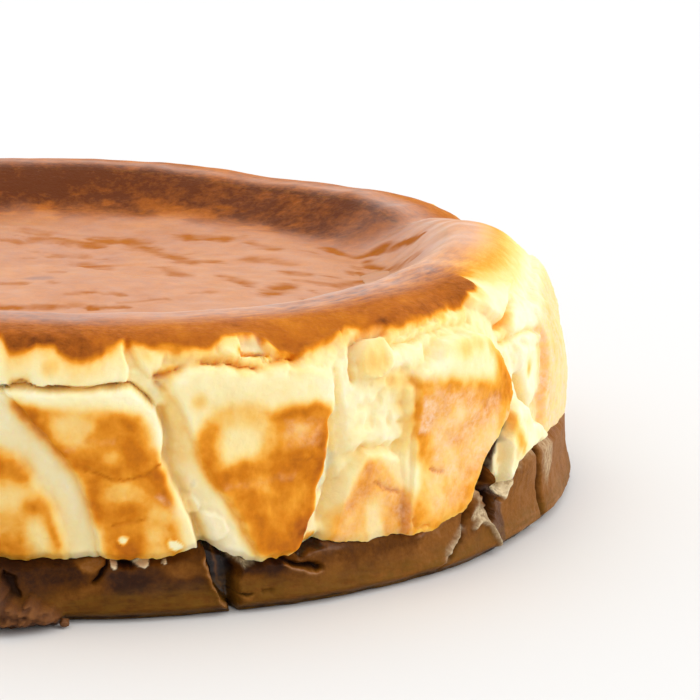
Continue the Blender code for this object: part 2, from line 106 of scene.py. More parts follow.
# Blocks of the wall: how far each stands out, how softly its edge falls, and its outline
FRONT_BLOCKS = [
    # The band over the left block, its right end, and the shelf over the middle block
    (2.1, 0.7, [(-15, 51), (-15, 41.4), (-6.4, 41.2), (-5.4, 42.0), (-4.2, 41.6), (-3.6, 41.0), (0, 41.1),
        (3.4, 41.2), (5.0, 41.5), (5.4, 43.5), (4.8, 46.0), (5.2, 51)]),
    (1.6, 0.8, [(5.2, 50), (5.8, 45.5), (6.6, 43.2), (7.5, 41.9), (8.2, 43.2), (9.0, 45.0), (11, 44.8),
        (13, 44.6), (15.0, 44.2), (16.6, 44.6), (16.9, 46.9), (19.2, 46.9), (20.2, 45.0), (21.4, 44.0),
        (23.6, 43.8), (28.6, 46.4), (29, 50)]),
    (1.5, 0.8, [(16.4, 44.5), (18.0, 44.7), (19.3, 44.3), (19.8, 43.4), (18.6, 42.8), (16.8, 43.0)]),
    # The left block on its shallow shelf, and the corner of the next one to its left
    (1.0, 5.0, [(-9, 41), (-4, 40), (3, 22), (3, 8), (-17, 8), (-17, 40)]),
    (2.9, 1.2, [(-6.8, 40.6), (0, 40.6), (4.0, 40.9), (5.2, 41.0), (6.4, 39.5), (7.6, 37.2), (8.4, 34.2),
        (8.8, 30.0), (8.5, 27.9), (9.2, 25.8), (10.2, 21.5), (11.4, 17), (12.4, 12.6), (12.8, 10.4),
        (10.2, 9.6), (3.4, 8), (2.2, 13), (1.2, 21.5), (-0.4, 27.5), (-2.6, 32), (-4.8, 37)]),
    (2.1, 2.6, [(-17, 31.5), (-8, 30.5), (-5.4, 29.4), (-3.8, 25.6), (-1.8, 21), (-0.6, 15), (-0.4, 8),
        (-17, 8)]),
    (2.0, 1.1, [(10.8, 21.0), (11.6, 21.4), (12.2, 20.2), (12.0, 18.6), (11.2, 18.2), (10.8, 19.4)]),
    (2.6, 1.5, [(12.4, 18.6), (13.6, 19.0), (14.8, 17.6), (15.4, 15.4), (14.6, 13.4), (13.4, 13.2),
        (12.6, 15.2)]),
    # The middle block: a gentle left flank, and a crisp face that narrows to a tongue over the chocolate
    (1.9, 6.0, [(9.4, 39), (9.0, 43), (27, 43), (25.6, 22), (23, 7), (14.6, 7), (12.6, 20), (11, 30)]),
    (3.0, 1.7, [(9.8, 38), (8.9, 40.4), (9.4, 42.6), (11.2, 43.6), (14.3, 43.6), (17.9, 42.3),
        (21.5, 42.8), (26.4, 42.0), (26.5, 36), (25.7, 27), (25.0, 22), (24.6, 17), (23.4, 12),
        (22.4, 9.0), (20.6, 7), (18.6, 7.5), (17.4, 12), (16.0, 17), (14, 22), (12.4, 27), (11.4, 32)]),
    # The low patch, the raw shelf over it and the small round lobe
    (2.1, 1.8, [(28.8, 22), (30.6, 26.0), (32.8, 25.4), (35.6, 23.6), (38.6, 20), (39.4, 8), (25.6, 8),
        (27.0, 14)]),
    (1.7, 2.4, [(26.8, 42), (29, 44), (37.9, 42.5), (38.2, 34), (38.0, 26), (33, 27.0), (28.4, 27),
        (27.4, 34)]),
    (2.9, 1.1, [(29.4, 43.6), (30.6, 45.0), (32.6, 44.9), (33.4, 42.6), (33.2, 40.4), (32.0, 38.9),
        (29.6, 39.2)]),
    (2.7, 3.2, [(34.4, 37.0), (36.2, 38.6), (38.6, 37), (38.8, 24), (38.4, 14), (35.4, 14), (34.8, 22),
        (35.4, 30)]),
    # The right block, whose right edge overhangs a deep crevice
    (3.6, 1.9, [(36.0, 38.8), (38, 40.2), (40.6, 42.4), (45, 43.2), (48.0, 41.8), (50, 38.4),
        (51.9, 34.0), (52.6, 30.8), (51.8, 27.8), (50.3, 24.6), (48.7, 21.4), (47.2, 18), (46.4, 14.5),
        (45.4, 10.5), (44.6, 8), (35.6, 8), (35.8, 16), (36.4, 30)]),
    # The ridge behind the crevice, the pale folds over it and the last block at the right
    (2.4, 1.4, [(53.6, 26.4), (55.6, 28.0), (57.4, 26), (58.4, 22.6), (60.8, 21.5), (63.2, 18.0),
        (61.4, 15.4), (58.4, 14.8), (55.2, 11), (53.4, 13), (52.8, 21)]),
    (1.2, 2.6, [(54.8, 42.6), (57.6, 44.4), (62, 45.2), (64.4, 41), (62.5, 36.5), (59.6, 36),
        (56.8, 38.4)]),
    (1.7, 0.9, [(46, 53), (49, 47.0), (51.6, 44.6), (53.5, 42.4), (55.4, 43.9), (57.0, 45.4), (60, 46.6),
        (64, 48.0), (68.5, 49.2), (71, 53)]),
    (1.1, 3.2, [(56.0, 38.4), (59.0, 37.4), (61.6, 36.4), (61.8, 29), (60.2, 26), (57.8, 27.6),
        (56.2, 32)]),
    (1.5, 2.0, [(62, 42), (63.6, 34), (62.6, 26), (63.4, 14), (75, 12), (76.5, 28), (73, 39), (68, 44)]),
    (1.0, 0.9, [(61.4, 41.6), (65, 42.8), (68, 43.6), (73.6, 44.4), (78.5, 45.0), (88, 44.6), (94, 40),
        (90, 33), (80, 31), (70, 33), (63.4, 36)]),
    (1.2, 4.0, [(82.5, 30), (86, 33), (93, 34), (97, 32), (98.5, 25), (97.5, 8), (81, 8), (80, 20)]),
]
# Blocks and folds that the picture doesn't show, drawn within these limits by seeded numbers
HIDDEN_FROM = 101.0
HIDDEN_TO = 342.0
BLOCK_WIDTHS = (11.0, 21.0)
FOLD_WIDTHS = (1.6, 4.4)
BLOCK_TOPS = (37.5, 43.5)
BLOCK_RAISES = (1.8, 3.4)
SEED = 11

# Folds and cracks: half width, depth, points
FRONT_FOLDS = [
    (0.42, 1.7, [(-12, 40.9), (-6, 40.9), (-3.6, 40.8), (-1.4, 41.0), (0.5, 40.8), (3, 40.9), (5.2, 41.2),
        (6.4, 39.7), (7.6, 37.6)]),
    (0.7, 1.3, [(-6.1, 41.5), (-4.6, 41.6)]),
    (1.0, 1.6, [(8.6, 36.5), (9.3, 31), (9.2, 27.5), (10.6, 22.5), (12.2, 16.5), (13.2, 12)]),
    (0.9, 2.2, [(8.0, 42.6), (9.2, 43.2), (10.2, 43.4)]),
    (0.7, 1.4, [(8.2, 41.2), (8.8, 40.2)]),
    (0.35, 1.5, [(16.9, 45.0), (19.4, 44.8)]),
    (0.4, 1.2, [(12.8, 44.4), (14.7, 43.9), (16.3, 42.9), (18, 42.5)]),
    (0.4, 1.0, [(19.0, 43.6), (20.9, 43.8), (22.4, 44.2)]),
    (0.35, 0.5, [(21.2, 41.9), (21.9, 42.6)]),
    (0.6, 1.7, [(34, 46.0), (31.6, 46.0), (30.0, 45.2), (29.0, 43.2), (28.7, 40.8), (28.9, 39.4)]),
    (0.5, 1.2, [(33.3, 44.9), (34.2, 43.9)]),
    (0.35, 0.4, [(0.9, 27.1), (2.5, 26.2), (3.6, 25.2), (5.2, 25.1), (6.8, 25.7), (8.5, 27.7)]),
    (0.4, 0.35, [(3.7, 17.0), (5.2, 17.6), (6.8, 18.1)]),
    (1.2, 1.6, [(26.3, 33), (26.6, 27), (27.2, 21), (26, 15)]),
    (0.45, 1.0, [(25.9, 26.2), (26.6, 25.7)]),
    (0.5, 1.1, [(25.4, 19.6), (26.6, 20.1), (27.8, 21.4)]),
    (0.4, 0.6, [(32.2, 20.0), (33.2, 18.4), (34.9, 17.7)]),
    (0.35, 0.5, [(38.8, 20.4), (40.6, 19.9)]),
    (0.35, 0.6, [(36.4, 11.8), (37.0, 10.2), (38.6, 10.4)]),
    (1.0, 5.0, [(53.0, 28.0), (52.2, 25.4), (51.4, 22.8), (50.3, 20.0), (49.2, 17.0), (49.4, 14)]),
    (0.6, 2.0, [(53.8, 31), (53.2, 28.5)]),
    (0.9, 2.2, [(56.6, 31.5), (57.8, 27.5), (58.8, 24.5), (60.0, 22.5)]),
    (0.7, 1.6, [(58.4, 45.6), (56.4, 44.4), (54.6, 42.9), (53.0, 42.0)]),
    (0.5, 1.0, [(34.2, 43.5), (37.3, 44.1), (41.0, 44.5), (44.7, 44.7), (48.2, 44.5)]),
    (0.4, 0.7, [(36, 45.0), (39, 45.4), (42, 45.9)]),
    (0.6, 1.0, [(53.2, 39.2), (55.7, 39.5), (58.6, 39.5), (62.4, 38.2)]),
]
# Raw, lumpy curd: how lumpy, how softly it ends, its outline
RAW_CURD = [
    (1.0, 3.0, [(27, 44), (35.6, 44), (37, 37), (36.8, 26), (30, 25.5), (26.6, 30)]),
    (0.9, 2.0, [(5.4, 50), (5.4, 43), (9, 43.8), (16, 43), (21, 42.6), (29, 45), (29, 50)]),
    (1.0, 2.0, [(51.8, 26), (55, 27), (56.4, 20), (56, 11), (51.6, 11)]),
]
CHOCOLATE_FOLDS = [
    (0.4, 1.4, [(3.3, 10.2), (2.7, 8.2), (2.1, 6.6)]),
    (0.45, 1.8, [(20.6, 9.0), (22.0, 7.9), (23.8, 7.0), (25.5, 6.2)]),
    (0.35, 0.8, [(16.2, 2.8), (17.4, 2.9)]),
    (0.35, 0.6, [(18.8, 3.0), (19.8, 3.2)]),
    (0.9, 3.0, [(62.4, 17.5), (62.6, 12.0), (63.0, 6.0), (63.4, 0)]),
    (0.6, 1.2, [(46.2, 11.6), (45.6, 8.0), (44.4, 5.6), (42.6, 3.0), (41.8, 1.6)]),
    (0.5, 0.9, [(51.6, 9.8), (53.0, 9.6)]),
]
# Ridges of the chocolate: half width, height, points
CHOCOLATE_RIDGES = [
    (0.5, 0.7, [(12.6, 10.4), (13.1, 7.9), (13.6, 4.9), (14.3, 2.6), (15.2, 1.0), (15.9, 0)]),
    (0.5, 0.5, [(20.9, 7.9), (22.6, 6.7), (24.2, 6.0), (25.4, 5.7)]),
    (0.6, 0.7, [(46.6, 9.4), (47.9, 10.6), (49.5, 10.2)]),
    (0.5, 0.8, [(47.2, 6.9), (48.5, 7.2), (50.0, 5.9), (51.0, 3.5), (51.4, 1.0)]),
    (0.5, 0.5, [(45.1, 7.2), (44.0, 6.3), (42.4, 3.9)]),
    (0.8, 0.6, [(38.2, 8.2), (40.0, 9.0), (42.2, 10.2)]),
]
# Deep places in the chocolate: depth, softness, outline
CHOCOLATE_PITS = [
    (4.6, 1.2, [(12.9, 12.6), (13.4, 8.2), (13.9, 5.0), (14.7, 2.7), (16.0, -0.6), (16.5, -0.6),
        (16.2, 2.7), (16.3, 5.1), (16.4, 8.3), (16.8, 12.6)]),
    (2.2, 0.8, [(1.4, 12.6), (2.8, 11.6), (3.8, 10.5), (5.1, 10.0), (6.6, 10.3), (7.9, 10.8), (6.6, 9.6),
        (5.2, 9.2), (3.6, 9.6), (2.2, 10.8)]),
    (1.6, 1.0, [(14.6, 12.8), (16.8, 10.8), (18.2, 9.2), (17.0, 8.8), (15.0, 9.6)]),
    (1.4, 0.8, [(23.0, 10.0), (25.8, 10.4), (25.9, 9.4), (23.4, 8.8)]),
    (5.0, 1.0, [(50.6, 22), (49.2, 18.3), (48.5, 16.4), (48.0, 14.1), (48.8, 12.4), (50.0, 11.8),
        (50.8, 14.2), (51.2, 17.0), (51.6, 21)]),
    (3.6, 0.8, [(49.2, 12.4), (51.0, 11.8), (51.4, 8.6), (51.0, 6.0), (50.0, 6.2), (49.4, 9.4)]),
    (1.6, 0.8, [(50.0, 13.6), (52.6, 13.0), (53.3, 10.4), (50.0, 11.2)]),
    (1.8, 0.8, [(-6.9, 9.0), (-5.6, 8.0), (-5.2, 5.2), (-6.2, 5.0)]),
]
HIDDEN_CHOCOLATE_FOLDS = 13
# The broken lump at the left: angle, height, half width and how far each part stands out, and its edge
CRAG_LUMPS = [
    (-8.6, 2.6, 6.5, 5.4), (-4.6, 3.6, 4.6, 4.6), (-6.6, 6.2, 4.4, 2.6), (-12, 3.4, 4.6, 3.0),
    (-2.2, 1.4, 2.6, 2.2)
]
CRAG = [
    (-17, 8.6), (-8.6, 9.4), (-7.3, 8.6), (-6.6, 7.2), (-6.1, 5.4), (-4.9, 4.8), (-4.3, 5.7), (-3.2, 4.5),
    (-1.9, 3.4), (-1.1, 2.0), (-1.3, -2), (-17, -2)
]

# Tone of the chocolate: first it brightens towards the right, partly painted light from that side,
# then marks are painted on it: its own darker and lighter patches, painted shade in its pits, cracks,
# grooves and the gap under the left block, and painted highlights along its ridges
CHOCOLATE_TONE_AND_LIGHT = [
    (-30, 0.30), (8, 0.31), (18, 0.38), (30, 0.45), (45, 0.50), (56, 0.60), (70, 0.64), (80, 0.58),
    (110, 0.44), (200, 0.40), (300, 0.36)
]
CHOCOLATE_MARKS_SHADE_AND_HIGHLIGHTS = [
    ("fill", 0.24, 2.6, [(-17, 11.5), (-7.3, 10.6), (0, 10.2), (1.6, 8.6), (0.6, 6.4), (-2, 6.8),
        (-6, 8.6), (-17, 9)]),
    ("fill", 0.20, 2.0, [(3.2, 7.9), (4.1, 8.8), (6.6, 8.6), (7.8, 6.8), (6.6, 4.4), (4.2, 4.6)]),
    ("fill", 0.28, 2.6, [(7.4, 7.4), (12.6, 7.4), (13.2, 4.6), (8.0, 4.2)]),
    ("fill", 0.62, 1.4, [(0.2, 9.8), (1.9, 11.2), (3.2, 10.2), (2.2, 8.4), (1.0, 8.4)]),
    ("line", 0.46, 1.2, [(-1.8, 3.8), (0.1, 4.7), (2.1, 5.6)]),
    ("fill", 0.50, 1.6, [(7.9, 9.4), (10.8, 10.2), (12.6, 9.2), (13.1, 7.0), (10.6, 7.4), (9.1, 7.2)]),
    ("fill", 0.18, 1.8, [(16.4, 9.0), (20.8, 8.8), (22, 7.2), (20, 6.2), (16.6, 6.8)]),
    ("fill", 0.58, 2.0, [(38, 8.0), (42, 9.6), (45, 9.8), (43.6, 5), (40, 2.2), (36.6, 3.5)]),
    ("fill", 0.40, 1.6, [(26.0, 9.2), (33, 9.0), (39, 8.4), (38, 6.6), (31, 6.8), (26, 7.4)]),
    # Painted highlights along the ridges and the lower lip of a crack
    ("line", 0.72, 0.45, [(12.7, 10.2), (13.2, 7.9), (13.7, 4.9), (14.4, 2.6), (15.3, 1.0), (16.0, 0)]),
    ("line", 0.66, 0.35, [(21.2, 7.7), (22.6, 6.6), (24.2, 5.9), (25.3, 5.7)]),
    ("line", 0.62, 0.4, [(16.2, 2.3), (17.6, 2.4)]),
    ("line", 0.66, 0.5, [(38.2, 8.3), (40.0, 9.1), (42.2, 10.3)]),
    # Painted shade, near black, deep in the groove
    ("fill", 0.00, 0.6, [(12.9, 12.2), (13.5, 8.2), (14.0, 5.2), (14.8, 2.8), (16.0, 0), (16.4, 0),
        (16.1, 2.7), (16.2, 5.1), (16.2, 8.3), (16.6, 12.2)]),
    # A painted glint on the groove's right wall
    ("line", 0.50, 0.35, [(14.3, 10.6), (14.5, 8.2), (15.0, 5.8), (15.4, 3.8)]),
    ("spot", 0.62, 0.6, [(16.2, 9.2), (0.7, 1.0)]),
    # Painted shadow in the gap under the left block
    ("fill", 0.00, 0.6, [(1.5, 12.6), (2.8, 11.6), (3.8, 10.4), (5.1, 9.9), (6.6, 10.2), (8.2, 10.8),
        (6.6, 9.7), (5.2, 9.3), (3.6, 9.6), (2.2, 11.0)]),
    # Painted shade: dark lines and patches in the cracks, slits, pits and folds below, near black in the
    # crevice at the right
    ("line", 0.02, 0.28, [(3.2, 9.9), (2.7, 8.2), (2.1, 6.8)]),
    ("line", 0.02, 0.32, [(20.6, 8.9), (22.0, 7.9), (23.8, 7.0), (25.4, 6.2)]),
    ("fill", 0.14, 0.8, [(23.0, 10.0), (25.8, 10.4), (26.4, 9.2), (23.4, 8.8)]),
    ("line", 0.08, 0.25, [(16.2, 2.8), (17.4, 2.9)]),
    ("fill", 0.00, 0.6, [(50.6, 22), (49.2, 18.3), (48.5, 16.4), (48.0, 14.1), (48.8, 12.4), (50.0, 11.8),
        (50.8, 14.2), (51.2, 17.0), (51.6, 21)]),
    ("fill", 0.22, 0.5, [(50.0, 13.4), (52.6, 12.9), (53.3, 10.4), (52.5, 9.9), (50.0, 11.0)]),
    ("fill", 0.38, 0.8, [(50.9, 11.6), (52.6, 10.4), (53.3, 5.1), (52.8, 0), (51.4, 0), (50.8, 4.5)]),
    ("fill", 0.00, 0.5, [(49.0, 12.6), (51.0, 11.8), (51.4, 8.6), (50.9, 6.4), (50.0, 6.6), (49.3, 9.4)]),
    # A painted highlight along the upper lip of the small pit beside the crevice
    ("line", 0.55, 0.3, [(50.0, 13.3), (52.6, 12.9)]),
    ("line", 0.00, 0.8, [(62.4, 16.8), (62.6, 12.0), (63.0, 6.0), (63.4, 0)]),
    ("line", 0.10, 0.5, [(46.0, 11.0), (45.5, 8.2), (44.4, 5.6), (42.6, 3.0)]),
    ("fill", 0.12, 0.8, [(-7.0, 8.8), (-5.9, 7.6), (-5.2, 5.4), (-6.0, 5.2)]),
]
# Curd dripped and smeared over the chocolate
CHOCOLATE_SMEARS = [
    ("spot", 2.0, 0.5, [(3.9, 9.7), (0.6, 0.9)]),
    ("fill", 1.8, 0.5, [(5.7, 10.0), (6.4, 10.7), (7.5, 10.6), (7.3, 9.6), (6.9, 9.0), (6.3, 9.3)]),
    ("spot", 1.2, 0.3, [(8.9, 9.9), (0.35, 0.4)]),
    ("fill", 0.62, 1.0, [(16.2, 9.6), (17.8, 9.2), (18.4, 8.4), (16.8, 7.8), (15.8, 8.6)]),
    ("fill", 0.60, 0.9, [(46.7, 9.3), (47.9, 10.7), (48.8, 10.2), (49.4, 7.8), (50.4, 5.8), (49.4, 5.8),
        (48.0, 7.4)]),
    ("line", 0.50, 0.6, [(45.1, 7.2), (44.0, 6.3), (42.4, 3.9), (42.0, 2.4)]),
    ("line", 0.65, 0.4, [(47.2, 6.9), (48.5, 7.2), (50.0, 5.9), (51.0, 3.5), (51.4, 1.4)]),
    ("fill", 0.40, 0.8, [(46.5, 12.7), (47.8, 13.3), (49.0, 11.4), (47.8, 10.9)]),
    ("fill", 1.20, 0.6, [(52.2, 12.4), (54.8, 12.8), (54.6, 11.0), (53.8, 9.4), (52.8, 10.4)]),
    ("line", 0.30, 0.8, [(56.0, 14.8), (58.4, 16.0), (62.2, 16.0)]),
    ("line", 0.35, 0.3, [(56.4, 0.6), (58.7, 1.4)]),
    ("fill", 0.40, 3.4, [(63.6, 18.0), (68.0, 17.4), (68.8, 10.5), (66.4, 7.0), (64.4, 10.4)]),
]
# Where the chocolate is wet
CHOCOLATE_WET = [
    ("fill", 0.9, 0.8, [(12.9, 12.2), (13.5, 8.2), (14.8, 2.8), (16.0, 0), (16.4, 0), (15.9, 5.1),
        (15.4, 12.2)]),
    ("line", 0.9, 0.5, [(21.2, 7.7), (22.6, 6.6), (24.2, 5.9), (25.3, 5.7)]),
    ("fill", 0.2, 1.6, [(3.0, 8.6), (7.6, 8.6), (12.6, 7.6), (12.8, 4.6), (3.0, 4.4)]),
    ("fill", 0.5, 0.8, [(48.0, 14.6), (52.6, 13.2), (53.4, 5.1), (52.8, 0), (51.8, 0), (49.8, 8)]),
    ("line", 0.9, 0.7, [(38.2, 8.3), (40.0, 9.1), (42.6, 10.6)]),
    ("line", 0.8, 0.8, [(45.1, 7.0), (44.0, 6.1), (42.2, 3.4), (41.6, 1.0)]),
    ("fill", 0.7, 1.0, [(23.0, 10.2), (28, 9.8), (30, 9.2), (26, 8.0), (23.4, 8.6)]),
]

